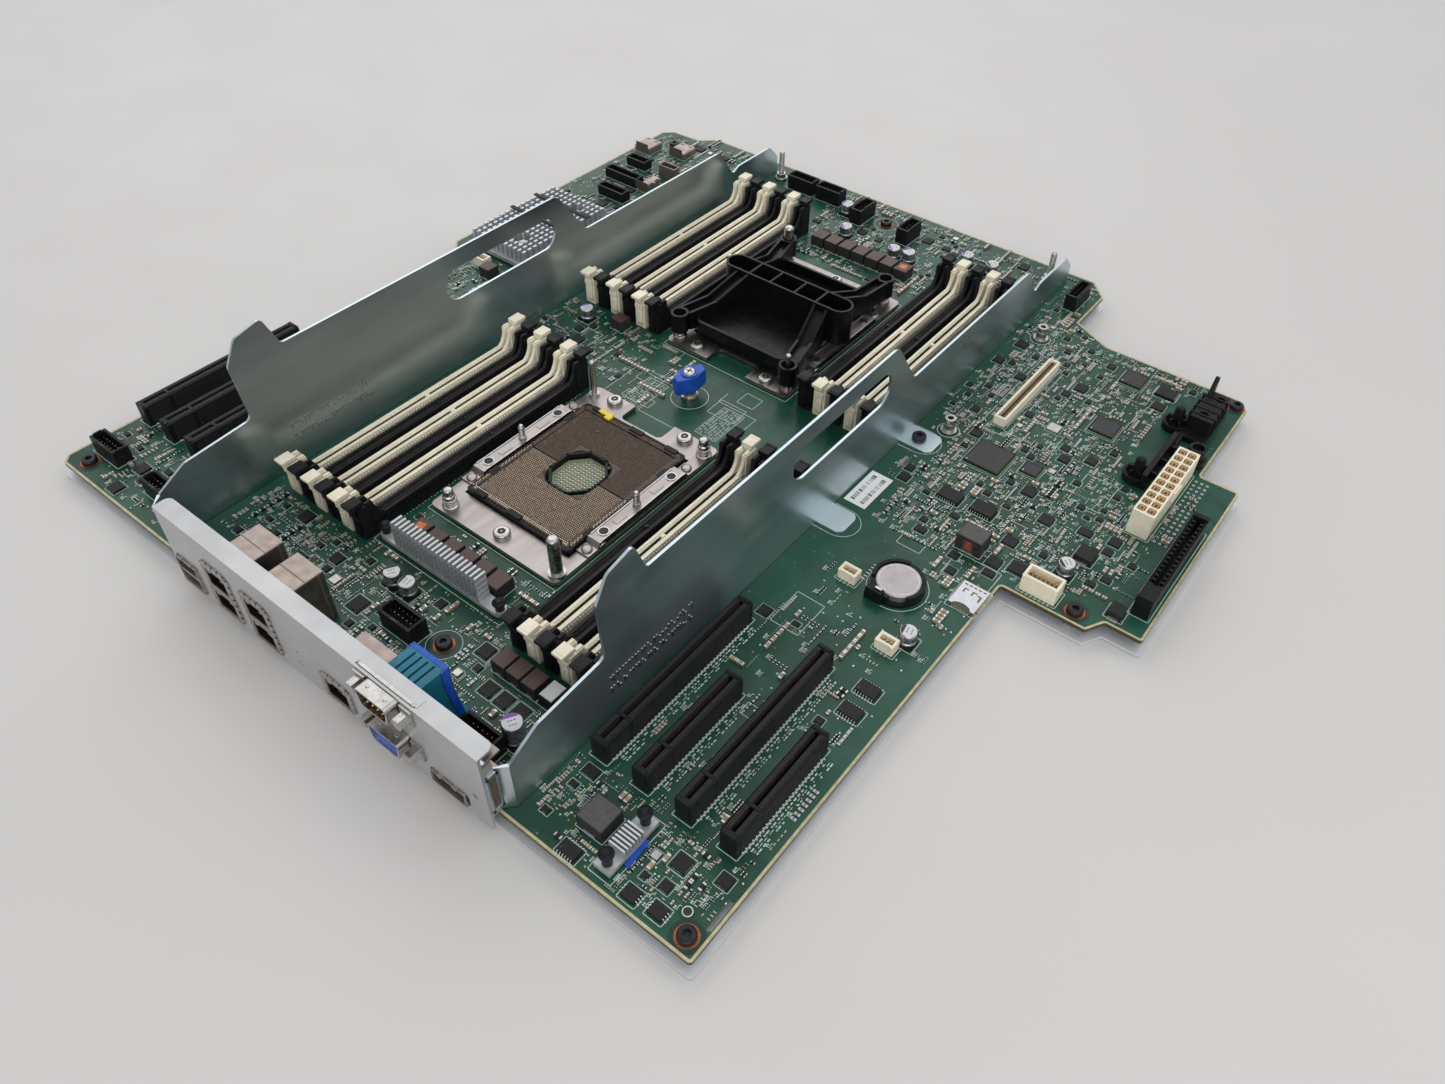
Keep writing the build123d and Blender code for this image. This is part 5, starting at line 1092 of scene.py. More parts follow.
def heatsink_fins():
    """Rolled tips and end edges on each fin in a lighter aluminium, the cut metal with a painted
    highlight, and the push pins that hold the sinks.
    """
    tips = Build("alu_bright", "alu", "royal", "black")
    long_sink, small_sink = sorted(solids("finned_heatsinks"), key=lambda box: box[0][0])
    low, high = long_sink
    x, y = middle(long_sink)[:2]
    for step in centred_steps(FINS, FIN_PITCH):
        fin_x = x + step
        profile = [(-0.5, -0.4), (0.5, -0.4), (0.95, 0.1), (0.8, 0.6), (0.2, 0.75), (-0.4, 0.45)]
        tips.loft([[(fin_x + dx, y + dy, high[2] - 0.25 + dz) for dx, dz in profile]
                   for dy in (-3.0, 3.0)], "alu_bright", False)
        for side in (-1, 1):
            # end edges of each fin in the lighter aluminium: painted highlight on the cut edge
            tips.box((fin_x - 0.55, y + side * 3.05 - 0.12, low[2] + 2.4),
                     (fin_x + 0.55, y + side * 3.05 + 0.12, high[2] - 0.4), "alu_bright")
        for rise in range(4):
            tips.box((fin_x + 0.4, y - 2.9, low[2] + 3.6 + 3 * rise),
                     (fin_x + 0.75, y + 2.9, low[2] + 4.2 + 3 * rise), "alu")
    low, high = small_sink
    x, y = middle(small_sink)[:2]
    for step in centred_steps(7, 1.6):
        fin_y = y + step
        tips.box((low[0] + 0.1, fin_y - 0.42, high[2] - 0.35), (high[0] - 0.1, fin_y + 0.42,
                                                                high[2] + 0.15), "alu_bright")
        for side, edge in ((-1, low[0]), (1, high[0])):
            tips.box((edge - 0.15, fin_y - 0.4, low[2] + 2.2), (edge + 0.15, fin_y + 0.4,
                                                                high[2] - 0.2), "alu_bright")
    tips.block(high[0] + 0.9, y, BOARD_TOP + 0.05, 2.2, 12, 0.8, "royal", 4)
    # fine ends of the pin fins in the lighter aluminium, partly painted highlight, and the two
    # straps that cross them
    x, y, low, high = centre_of("pin_fin_heatsink")
    for step_x in centred_steps(12, 3.8):
        for step_y in centred_steps(16, 4.4):
            px, py = x + step_x, y + step_y
            if min((Vector((px, py)) - Vector(hole)).length for hole in PIN_HOLES) > 5.6:
                tips.block(px, py, high.z - 0.05, 1.3, 2.5, 0.2, "alu_bright")
                tips.block(px, py, low.z + 3, 1.95, 0.5, high.z - low.z - 3.2, "alu_bright")
    for strap_y in STRAP_YS:
        tips.box((low.x + 0.5, strap_y - 1.3, high.z + 0.15), (high.x - 0.5, strap_y + 1.3,
                                                              high.z + 0.9), "black")
    tips.piece("fin_tips", bevel=0.1)
    pins = Build("black", "paper")
    for x, y, low, high in centred("push_pins"):
        tone = "paper" if x < -150 else "black"
        z, top = low[2], high[2]
        pins.lathe(x, y, [(2.0, z), (2.0, top - 2.3), (2.9, top - 2.0), (3.0, top - 1.3),
                          (2.6, top - 0.9), (1.5, top - 0.7), (1.4, top)], tone, 28)
        for turn in (0, 90):
            pins.block(x, y, top - 0.75, 4.6, 0.5, 0.5, tone, turn + 20)
    pins.piece("push_pin_heads", bevel=0.1, replaces=("push_pins",))


PIN_HOLES = ((-189.2, 84.5), (-189.2, 38.6))
STRAP_YS = (60.0, 80.0)
FINS = 21
FIN_PITCH = 2.6
wing_knob()
can_capacitors()
choke_tops()
heatsink_fins()


# ---- rear ports ----
DSUB_PITCH = 2.77
JACK_CONTACTS = 8
JACK_CONTACT_PITCH = 1.02


def port_details():
    """Spring fingers, seams, mouths, tongues and contacts of the rear ports."""
    ports = Build("shell", "shell_shaded", "black", "gold", "bright", "royal", "field", "grey_chip")
    panel_low, panel_high = box_mm("rear_io_panel")
    face = panel_low.y
    for low, high in solids("ethernet_jacks"):
        x = middle((low, high))[0]
        stacked = high[2] - low[2] > 20
        # spring fingers folded out round the face
        out = face - 0.9
        for i in range(4):
            fx = low[0] + 0.9 + (high[0] - low[0] - 1.8) * (i + 0.5) / 4
            ports.box((fx - 1.5, out, high[2] - 0.5), (fx + 1.5, face, high[2] + 1.3), "bright")
        fingers = 7 if stacked else 4
        for i in range(fingers):
            fz = low[2] + 1.2 + (high[2] - low[2] - 1.6) * (i + 0.5) / fingers
            for side, edge in ((-1, low[0]), (1, high[0])):
                ports.box((edge - side * 0.4, out, fz - 1.3), (edge + side * 1.3, face, fz + 1.3),
                          "bright")
        ports.box((low[0], low[1] - 0.35, low[2] + 0.4), (high[0], low[1] + 0.1, low[2] + 1.6),
                  "bright")
        # folded seams on the top and the side walls, drawn in the darker copy of the shell metal:
        # painted shade
        ports.box((low[0] + 0.3, high[1] - 8.6, high[2] - 0.02), (high[0] - 0.3, high[1] - 8.1,
                                                                  high[2] + 0.14), "shell_shaded")
        ports.box((low[0] + 0.3, high[1] - 0.2, low[2] + 1), (high[0] - 0.3, high[1] + 0.1,
                                                              high[2] - 0.6), "shell_shaded")
        for side, edge in ((-1, low[0]), (1, high[0])):
            ports.box((edge, face + 10, low[2] + 0.5),
                      (edge + side * 0.08, high[1] - 0.4, high[2] - 0.7), "shell_shaded")
            ports.box((edge, high[1] - 3, low[2] + 0.5),
                      (edge + side * 0.25, high[1] - 2.2, high[2] - 0.7), "shell")
            for i in range(3):
                ports.lathe(0, 0, [(0.5, 0), (0.3, 0.3)], "bright", 8, True,
                            Matrix.Translation((edge, face + 13 + 3 * i, low[2] + 4)) @
                            Matrix.Rotation(math.radians(90 * side), 4, "Y"))
        for z in (7.2, 20.4) if stacked else (7.0,):
            middle_z = BOARD_TOP + z
            back = low[1] + 14.0
            for side in (-1, 1):
                ports.box((x + side * 6.1 - 0.25, low[1] + 0.3, middle_z - 4.6),
                          (x + side * 6.1 + 0.05, back, middle_z + 4.6), "black")
                ports.box((x + side * 4.6 - 1.0, low[1] + 0.25, middle_z + 2.6),
                          (x + side * 4.6 + 1.0, low[1] + 1.4, middle_z + 4.5), "grey_chip")
                ports.box((x - 6.1, low[1] + 0.3, middle_z + side * 4.5 - 0.15),
                          (x + 6.1, back, middle_z + side * 4.5 + 0.15), "black")
            ports.box((x - 6.1, back, middle_z - 4.6), (x + 6.1, back + 0.6, middle_z + 4.6),
                      "black")
            for step in centred_steps(JACK_CONTACTS, JACK_CONTACT_PITCH):
                px = x + step
                ports.loft([[(px + dx, low[1] + 2.2 + 9 * t, middle_z - 4.2 + 4.2 * t + dz)
                             for dx, dz in ((-0.2, 0), (0.2, 0), (0.2, 0.3), (-0.2, 0.3))]
                            for t in (0, 1)], "gold", False)
        if not stacked:
            # the wider rear shell of the single jack
            ports.box((x - 11.0, high[1] - 9, low[2] + 0.2),
                      (x + 8.6, high[1] + 2.2, high[2] - 0.05), "shell")
    for low, high in solids("usb_ports"):
        x, y, z = middle((low, high))
        if y > 0:
            ports.box((x - 5, y + 0.1, low[2] + 4.2), (x + 5, y + 1.5, high[2] - 1.6), "black")
            for px in (-3.5, -1.2, 1.2, 3.5):
                ports.box((x + px - 0.5, y - 0.1, low[2] + 4.2), (x + px + 0.5, y + 0.12,
                                                                high[2] - 2.2), "gold")
            continue
        rows = (4.2, 11.4) if high[2] - low[2] > 10 else (3.6,)
        half = (high[0] - low[0]) / 2
        for row in rows:
            middle_z = BOARD_TOP + row
            ports.box((x - half + 2.0, low[1] + 1.4, middle_z + 0.1),
                      (x + half - 2.0, low[1] + 11, middle_z + 1.7), "black")
            for px in (-3.4, -1.2, 1.2, 3.4):
                ports.box((x + px - 0.5, low[1] + 2.2, middle_z - 0.02),
                          (x + px + 0.5, low[1] + 10, middle_z + 0.12), "gold")
        for side in (-1, 1):
            ports.box((x + side * half * 0.45 - 1.2, low[1] - 0.5, high[2] - 0.5),
                      (x + side * half * 0.45 + 1.2, low[1] + 2.5, high[2] + 0.45), "bright")
            ports.box((x + side * half - 0.25, low[1] - 0.4, low[2] + 1.4),
                      (x + side * half + 0.25, low[1] + 1.6, high[2] - 1.4), "bright")
        ports.box((low[0] - 0.3, low[1] - 0.4, low[2] + 0.1), (high[0] + 0.3, low[1] + 0.2,
                                                               low[2] + 0.8), "shell")
    for node, rows, tone in (("serial_port", ((5, 1.42), (4, -1.42)), "black"),
                             ("vga_port", ((5, 1.98), (5, 0), (5, -1.98)), "royal")):
        low, high = box_mm(node)
        x, z = (low.x + high.x) / 2, (low.z + high.z) / 2
        deep = 6.0 if node == "serial_port" else 0.5
        back = low.y + deep
        outline = [(-8.0, 3.9), (8.0, 3.9), (6.4, -3.9), (-6.4, -3.9)]
        ports.loft([[(x + px, back + dy, z + pz) for px, pz in outline] for dy in (0, 0.5)], tone,
                   False)
        for count, rise in rows:
            for step in centred_steps(count, DSUB_PITCH):
                turn = Matrix.Translation((x + step, back, z + rise)) @ Matrix.Rotation(
                    math.radians(90), 4, "X")
                if node == "serial_port":
                    ports.lathe(0, 0, [(0.5, 0), (0.5, 4.6), (0.25, 5.2)], "gold", 10, True, turn)
                else:
                    # dark discs for the socket holes: painted shade
                    ports.lathe(0, 0, [(0.62, 0), (0.6, 0.06)], "field", 12, False, turn)
        # rolled lip, pressed dimples and the flange between the jack screws
        for side in (-1, 1):
            for px in (-4.6, 4.6):
                place = Matrix.Translation((x + px, low.y + 3.2, z + side * 4.75))
                ports.lathe(0, 0, [(0.95, -0.05), (0.8, 0.16), (0.3, 0.22)] if side > 0 else
                            [(0.3, -0.22), (0.8, -0.16), (0.95, 0.05)], "bright", 14, True, place)
            turn = Matrix.Translation((x + side * 12.5, low.y + 0.9, z)) @ Matrix.Rotation(
                math.radians(90), 4, "X")
            # a dark disc for each threaded hole: painted shade
            ports.lathe(0, 0, [(1.5, 0), (1.45, 0.1)], "field", 16, False, turn)
            ports.ring(0, 0, 1.5, 2.5, 0, 0.25, "bright", 24)
            ports.points[-96:] = [tuple(turn @ Vector(point)) for point in ports.points[-96:]]
        for side in (-1, 1):
            ports.box((x + side * 12.4 - 3.1, face - 1.0, z - 4.2),
                      (x + side * 12.4 + 3.1, face, z + 4.2), "bright")
    ports.piece("port_details", bevel=0.1)


def panel_details():
    """The pressed lip and end frame of the panel, and the blue frame of the D housing."""
    panel_low, panel_high = box_mm("rear_io_panel")
    trim = Build("panel", "zinc", "field", "royal", "shell")
    housing_low, housing_high = box_mm("dsub_housing")
    x = (housing_low.x + housing_high.x) / 2
    # raised pad on the top flange over the upper D port
    pad = [(x - 16, panel_low.y + 1.6), (x + 16, panel_low.y + 1.6), (x + 16, panel_high.y - 2.2),
           (x + 14, panel_high.y - 1.2), (x - 14, panel_high.y - 1.2),
           (x - 16, panel_high.y - 2.2)]
    trim.prism(pad, panel_high.z - 0.05, panel_high.z + 0.16, "panel")
    # end frame with its window, filled with a dark sheet: painted shade
    end = panel_high.x
    for low, high in (((0, 1.2, 14), (0.7, 6.4, 16)), ((0, 1.2, 34), (0.7, 6.4, 36)),
                      ((0, 1.2, 14), (0.7, 2.2, 36)), ((0, 5.4, 14), (0.7, 6.4, 36))):
        trim.box((end + low[0], panel_low.y + low[1], low[2]),
                 (end + high[0], panel_low.y + high[1], high[2]), "zinc")
    trim.box((end - 0.05, panel_low.y + 2.2, 16), (end + 0.12, panel_low.y + 5.4, 34), "field")
    trim.box((end - 4.2, panel_low.y + 3, panel_high.z - 4.4),
             (end + 0.5, panel_low.y + 9.2, panel_high.z - 3.4), "shell")
    # blue frame down the back and sides of the housing
    back, top = housing_high.y - 6, housing_high.z
    ridge = housing_high.y
    for side in (-1, 1):
        edge = x + side * (housing_high.x - housing_low.x) / 2
        profile = [(back, top - 9), (ridge - 3.6, BOARD_TOP + 9), (ridge, BOARD_TOP + 5),
                   (ridge, BOARD_TOP), (ridge - 5, BOARD_TOP), (ridge - 6.5, BOARD_TOP + 10),
                   (back - 3.2, top - 9), (back - 3.2, top), (back, top)]
        trim.loft([[(edge + dx * side, py, pz) for py, pz in profile] for dx in (-0.3, 0.55)],
                  "royal", False)
    trim.box((housing_low.x - 0.3, back - 1.6, top - 9),
             (housing_high.x + 0.3, back + 0.45, top + 0.2), "royal")
    trim.piece("panel_trim", bevel=0.2, segments=2)
    # two rows of small pressed marks low on each guide wall
    dots = Build("zinc", "bright")
    for wall, start in ((RIGHT_WALL[1], -174), (LEFT_WALL[1], -160)):
        for row in range(2):
            for i in range(14):
                for j in range(2):
                    y, z = start + 3.5 * i + 1.5 * j, BOARD_TOP + 14 + 6.4 * row
                    tall = random.choice((0.9, 1.8, 3.2))
                    z += random.choice((0, 3.2 - tall))
                    dots.box((wall - 0.05, y - 0.35, z), (wall + 0.3, y + 0.35, z + tall),
                             "bright")
    dots.piece("wall_dimples")


# ---- connectors ----
HEADER_PITCH = 2.54
WAFER_PITCH = 2.0
POWER_PITCH = 5.35
MEZZANINE_CONTACTS = 58
EDGE_CONTACTS = 52


def connector_details():
    """Pins, contacts, tails and latches of the headers, plugs, card cages and battery holder."""
    pins = Build("solder", "gold", "tan", "black", "field", "ivory", "bright", "epoxy", "shell",
                 "shell_shaded", "alu_bright")
    for x, y, low, high in centred("black_headers"):
        wide, deep = high[0] - low[0], high[1] - low[1]
        across = int((wide - 3.6) / HEADER_PITCH) + 1
        along = int((deep - 3.6) / HEADER_PITCH) + 1
        for dx in centred_steps(across, HEADER_PITCH):
            for dy in centred_steps(along, HEADER_PITCH):
                # pins inside the shroud in the darker copy of the tinned metal: painted shade
                pins.block(x + dx, y + dy, low[2] + 2, 0.5, 0.5, high[2] - low[2] - 4.4,
                           "shell_shaded")
        # a dark patch at the key opening on the near face: painted shade
        pins.block(x, low[1] + 0.5, high[2] - 3.2, 4.2, 0.5, 3.3, "field")
        for side in (-1, 1):
            pins.block(x + side * (wide / 2 - 0.4), y, high[2] - 0.02, 1.0, deep * 0.5, 0.45,
                       "black")
    for x, y, low, high in centred("ivory_headers"):
        wide, deep = high[0] - low[0], high[1] - low[1]
        if deep > 30:
            for side in (-1, 1):
                for i in range(MEZZANINE_CONTACTS):
                    pins.block(x + side * 0.8, low[1] + 2.5 + i, high[2] - 2.4, 0.25, 0.4, 1.9,
                               "tan")
                    pins.block(x + side * (wide / 2 + 0.5), low[1] + 2.5 + i, low[2], 1.1, 0.4,
                               0.25, "solder")
            pins.block(x, y, high[2] - 2.9, 1.0, deep - 3.4, 2.2, "black")
            continue
        count = max(2, int((wide - 3) / WAFER_PITCH) + 1)
        for step in centred_steps(count, WAFER_PITCH):
            px = x + step
            pins.block(px, y, high[2] - min(7, high[2] - low[2] - 1.5), 0.75, 0.75,
                       min(6.4, high[2] - low[2] - 2), "gold")
            pins.block(px, low[1] - 0.9, low[2], 0.6, 2.0, 0.3, "solder")
            pins.block(px, high[1] + 0.5, low[2], 0.6, 1.0, 0.3, "solder")
        for side in (-1, 1):
            pins.block(x + side * (wide / 2 - 0.8), low[1] - 0.1, high[2] - 3.4, 1.2, 0.8, 3.6,
                       "ivory")
    x, y, low, high = centre_of("power_connector")
    corner = 0.9
    for column in (-1, 1):
        for step in centred_steps(10, POWER_PITCH):
            px, py = x + column * 2.3, y + step
            outer = []
            for sx, sy in ((-1, -1), (1, -1), (1, 1), (-1, 1)):
                ax, ay = px + sx * 1.86, py + sy * 2.2
                pair = [(ax - sx * corner, ay), (ax, ay - sy * corner)]
                outer += pair if sx * sy > 0 else pair[::-1]
            # cavity walls in tan, darker than the ivory body: painted shade inside each cavity
            for a, b in zip(outer, outer[1:] + outer[:1]):
                pins.line([a, b], 0.42, high.z - 7.5, 7.3, "tan")
            pins.block(px, py, high.z - 9.4, 1.1, 1.1, 6.0, "bright")
    for row in range(3):
        for step in centred_steps(16, 3.4):
            pins.ring(x + 8.2 + 2.7 * row, y + step, 0.35, 0.75, BOARD_TOP + 0.01,
                      BOARD_TOP + 0.1, "solder", 10)
    pins.box((high.x - 0.1, y - 4, high.z - 7), (high.x + 1.0, y + 4, high.z - 2), "ivory")
    low, high = box_mm("edge_connector")
    x = (low.x + high.x) / 2
    for i in range(EDGE_CONTACTS):
        py = low.y + 13 + i
        for side in (-1, 1):
            pins.block(x + side * 0.95, py, high.z - 5, 0.3, 0.4, 3.4, "epoxy")
            pins.block(x + side * 3.1, py, high.z - 0.02, 1.0, 0.45, 0.35, "black")
        pins.block(low.x - 0.8, py, low.z, 1.5, 0.4, 0.3, "solder")
    pins.block(x, low.y + 5.0, high.z - 0.1, 7.0, 9.6, 1.4, "black")
    pins.block(x, high.y - 1.4, high.z - 0.1, 7.0, 2.6, 1.0, "black")
    # card reader shield: stamped slots and a curved mouth as dark marks, painted shade in the
    # openings, and its contact tails
    for low, high in solids("card_cages"):
        cx, cy = middle((low, high))[:2]
        top = high[2]
        if top - BOARD_TOP < 3:
            pins.block(cx, cy, top - 0.02, 12.2, 14.6, 0.03, "alu_bright")
            for dx, dy, w, l in ((-3.6, 2.2, 0.7, 2.6), (-2.6, 3.2, 1.8, 0.6), (0.4, 2.2, 0.7, 2.6),
                                 (1.3, 3.2, 1.8, 0.6), (4.4, 1.0, 0.8, 3.4), (3.4, 2.4, 1.4, 0.7)):
                pins.block(cx + dx, cy + dy, top - 0.02, w, l, 0.05, "field")
            for i in range(5):
                pins.block(cx - 4.4 + 2.2 * i, high[1] - 1.7, top - 0.02, 1.5, 0.7, 0.05, "field")
            for i in range(8):
                pins.block(cx - 3.9 + 1.1 * i, low[1] - 0.4, BOARD_TOP, 0.6, 1.6, 0.35, "solder")
            arc = [(cx + 4.4 * math.cos(math.radians(a)), low[1] - 0.05 + 2.4 *
                    math.sin(math.radians(a))) for a in range(0, 181, 15)]
            pins.prism(arc, top - 0.02, top + 0.05, "field")
            for side in (-1, 1):
                pins.block(cx + side * 6.5, cy - 4, BOARD_TOP, 1.2, 2.6, 1.0, "shell")
        else:
            pins.block(cx, cy, top - 0.02, 11, 0.5, 0.2, "bright")
            # the tall cage's card opening as a dark sheet, and dark marks on its top: painted shade
            pins.block(cx, low[1] - 0.03, BOARD_TOP + 1, 10.5, 0.2, 5.8, "field")
            for side in (-1, 1):
                pins.block(cx + side * 3.4, cy + 4.6, top - 0.02, 2.6, 1.2, 0.06, "field")
    # cable guide: ribs, peg caps and rings
    low, high = box_mm("cable_guide")
    for px, py in ((181, 83), (181, 132)):
        pins.lathe(px, py, [(2.2, BOARD_TOP + 11.3), (2.0, BOARD_TOP + 12.4),
                            (1.0, BOARD_TOP + 13.2)], "black", 20)
        pins.ring(px, py, 5.4, 6.6, BOARD_TOP + 2.8, BOARD_TOP + 3.9, "black", 36)
        for turn in (0, 60, 120):
            pins.block(px, py, BOARD_TOP + 2.9, 10, 0.9, 3.6, "black", turn)
    pins.ring(198.6, 112, 2.9, 4.4, BOARD_TOP + 6.8, BOARD_TOP + 9.2, "black", 28)
    for i in range(4):
        pins.block(191.9, 133.6 + 5.6 * i, BOARD_TOP + 3, 13.2, 1.0, 9.4, "black")
    for i in range(3):
        pins.block(187.4, 84 + 12 * i, BOARD_TOP + 2.9, 5.4, 1.0, 4.0, "black")
    # battery holder: raised arms, clip and the cell's rim
    x, y, low, high = centre_of("coin_battery")
    pins.ring(x, y, 10.35, 11.9, BOARD_TOP + 4.5, BOARD_TOP + 5.7, "black", 30, 95, 110)
    pins.ring(x, y, 10.35, 11.9, BOARD_TOP + 4.5, BOARD_TOP + 5.7, "black", 20, 320, 70)
    pins.block(x - 4.6, y - 12.2, BOARD_TOP + 4.5, 7.6, 3.0, 2.2, "black")
    pins.block(x - 3.2, y - 11.6, BOARD_TOP + 1.5, 3.2, 1.2, 6.0, "bright")
    for i in range(6):
        pins.block(x - 14.6, y - 5 + 2 * i, BOARD_TOP, 1.8, 0.35, 0.05, "solder")
    pins.piece("connector_pins", bevel=0.07)
    rim = Build("bright")
    rim.ring(x, y, 8.5, 8.9, high.z - 0.02, high.z + 0.07, "bright", 64)
    rim.piece("cell_rim", "battery")


port_details()
panel_details()
connector_details()


# ---- packaged chips and the small surface parts ----
LEAD_PITCH = 1.27
FINE_PITCH = 0.65


def gull_leads(mesh, x, y, width, length, count, sides):
    """Bent leads on two opposite sides; sides is 'x' or 'y', the way the leads point."""
    for step in centred_steps(count, LEAD_PITCH):
        for out in (-1, 1):
            profile = [(0, 1.2), (0.55, 1.1), (0.75, 0.2), (1.5, 0.12), (1.5, 0), (0.6, 0),
                       (0.4, 0.95), (0, 1.0)]
            half = 0.22
            if sides == "y":
                rings = [[(x + step + dx, y + out * (length / 2 + reach), BOARD_TOP + rise)
                          for reach, rise in profile] for dx in (-half, half)]
            else:
                rings = [[(x + out * (width / 2 + reach), y + step + dy, BOARD_TOP + rise)
                          for reach, rise in profile] for dy in (-half, half)]
            mesh.loft(rings, "solder", False)


def chip_details():
    """Leads, lids, carriers and pin-one marks of the packaged chips."""
    leads = Build("solder", "substrate", "die_label", "silk", "paper")
    for x, y, low, high in centred("chips"):
        width, length, tall = high - low
        top = high[2]
        if tall > 3.6:
            leads.block(x, y, top - 0.1, width - 1.0, length - 1.0, 0.35, "paper")
            leads.block(x, y, BOARD_TOP, width + 0.6, length * 0.5, 0.5, "solder")
        elif tall > 3:
            leads.block(x, low[1] - 0.8, BOARD_TOP, width * 0.7, 2.4, 0.5, "solder")
            for side in (-1, 1):
                leads.block(x + side * width * 0.3, high[1] + 0.8, BOARD_TOP, 1.0, 2.0, 0.5,
                            "solder")
        elif width >= 12 or width == length and tall > 1.5:
            leads.block(x, y, BOARD_TOP + 0.25, width + 0.9, length + 0.9, 0.45, "substrate")
            leads.block(x, y, top - 0.05, width - 1.4, length - 1.4, 0.13, "die_label")
            leads.lathe(low[0] + 1.4, low[1] + 1.4, [(0.45, top + 0.06), (0.4, top + 0.1)],
                        "silk", 12)
        elif tall > 1.7 and width > 7:
            count = int((width - 1.2) / LEAD_PITCH) + 1
            gull_leads(leads, x, y, width, length, count, "y")
            leads.lathe(low[0] + 1.2, low[1] + 1.2, [(0.5, top - 0.02), (0.45, top + 0.04)],
                        "die_label", 12)
        elif tall > 1.3:
            gull_leads(leads, x, y, width, length, max(3, int((length - 1) / LEAD_PITCH)), "x")
        else:
            count = max(3, int((width - 1) / FINE_PITCH))
            for step in centred_steps(count, FINE_PITCH):
                for out in (-1, 1):
                    leads.block(x + step, y + out * length / 2, BOARD_TOP, 0.3, 0.5, 0.25, "solder")
                    leads.block(x + out * width / 2, y + step, BOARD_TOP, 0.5, 0.3, 0.25, "solder")
            leads.lathe(low[0] + 0.9, low[1] + 0.9, [(0.35, top - 0.02), (0.3, top + 0.03)],
                        "die_label", 10)
    leads.piece("chip_leads", bevel=0.05)


class FreeBoard:
    """Which half-millimetre squares of the board are still free."""
    STEP = 0.5

    def __init__(self):
        low, high = self.board = box_mm("circuit_board")
        self.origin = (low.x, low.y)
        self.full = np.ones((int((high.x - low.x) / self.STEP) + 1,
                             int((high.y - low.y) / self.STEP) + 1), bool)
        self.fill_outline(board_outline())
        skip = ("circuit_board", "base_tray", "cpu_2_cover", "left_guide_bracket",
                "right_guide_bracket", "rear_io_panel", "coin_battery", "blue_knob",
                "tray_standoffs", "socket_frames", "contact_fields")
        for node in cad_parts:
            if node not in skip and not node.startswith("latches_"):
                margin = 2.2 if "dimm" in node or "pcie" in node else 1.2
                for low, high in solids(node):
                    if high[2] > BOARD_TOP + 0.1 and low[2] < BOARD_TOP + 3:
                        self.take(low[0], low[1], high[0], high[1], margin)
        for node, wall in (("left_guide_bracket", LEFT_WALL), ("right_guide_bracket", RIGHT_WALL)):
            low, high = box_mm(node)
            self.take(wall[0], low.y, wall[1], high.y, 1.0)
            self.take(low.x, low.y, high.x, low.y + 6, 0.5)
            for y in FOOT_YS[node]:
                self.take(min(wall[0], wall[0] - 16 * (node[0] == "l")), y - 9,
                          max(wall[1], wall[1] + 17 * (node[0] == "r")), y + 9, 1)
        low, high = box_mm("rear_io_panel")
        self.take(low.x, low.y - 3, high.x, low.y + 3, 1)
        for low, high in solids("black_screws") + solids("knob_base"):
            x, y = middle((low, high))[:2]
            self.take(x - 7.8, y - 7.8, x + 7.8, y + 7.8, 0)

    def fill_outline(self, outline):
        """Only squares well inside the outline are free."""
        columns, rows = self.full.shape
        xs = self.origin[0] + self.STEP * (np.arange(columns) + 0.5)
        ys = self.origin[1] + self.STEP * (np.arange(rows) + 0.5)
        grid_x, grid_y = np.meshgrid(xs, ys, indexing="ij")
        inside = np.zeros(self.full.shape, bool)
        for a, b in zip(outline, outline[1:] + outline[:1]):
            if a[1] == b[1]:
                continue
            crossing = (grid_y > min(a[1], b[1])) & (grid_y <= max(a[1], b[1]))
            at = a[0] + (grid_y - a[1]) * (b[0] - a[0]) / (b[1] - a[1])
            inside ^= crossing & (grid_x < at)
        self.full = ~inside
        for axis in (0, 1):
            for shift in range(-4, 5):
                self.full |= np.roll(~inside, shift, axis)

    def span(self, x0, y0, x1, y1, margin):
        ox, oy = self.origin
        ends = [max(0, int((value - start) / self.STEP) + extra) for value, start, extra in (
            (x0 - margin, ox, 0), (x1 + margin, ox, 1), (y0 - margin, oy, 0), (y1 + margin, oy, 1))]
        return slice(*ends[:2]), slice(*ends[2:])

    def take(self, x0, y0, x1, y1, margin):
        self.full[self.span(x0, y0, x1, y1, margin)] = True

    def free(self, x0, y0, x1, y1, margin):
        low, high = self.board
        if x0 < low.x or y0 < low.y or x1 > high.x or y1 > high.y:
            return False
        return not self.full[self.span(x0, y0, x1, y1, margin)].any()


# (length, width, height, body, end metal) of common surface parts, and how often each comes
PARTS = (((1.0, 0.5, 0.38, "tan_chip", "solder"), 10), ((1.0, 0.5, 0.36, "epoxy", "solder"), 10),
         ((1.6, 0.8, 0.5, "epoxy", "solder"), 8), ((1.6, 0.8, 0.8, "tan_chip", "solder"), 7),
         ((2.0, 1.25, 1.0, "tan_chip", "solder"), 3), ((3.2, 1.6, 1.5, "tan_chip", "solder"), 3),
         ((2.0, 1.25, 0.6, "grey_chip", "solder"), 3), ((3.0, 1.5, 1.1, "epoxy", "solder"), 1.6))

# where small parts crowd together: (low x, low y, high x, high y, runs of parts)
CROWDS = ((-64, -230, 22, -178, 330), (-130, -208, -60, -176, 170), (22, -230, 77, -178, 140),
          (80, -229, 160, -192, 230), (86, 8, 206, 176, 1200), (96, -20, 196, 12, 170),
          (135, -60, 160, -18, 40), (-80, 146, 16, 226, 330), (10, 150, 100, 226, 160),
          (-222, -60, -138, 24, 230), (-222, -228, -150, -190, 90), (-228, 98, -138, 222, 300),
          (-222, 24, -138, 98, 60), (-132, -24, -62, 28, 120), (-62, -30, -40, 24, 12),
          (80, -192, 160, -95, 70), (98, -95, 160, -60, 22), (-72, -176, 20, -146, 60),
          (80, 40, 104, 200, 70), (-222, -190, -138, -60, 130))


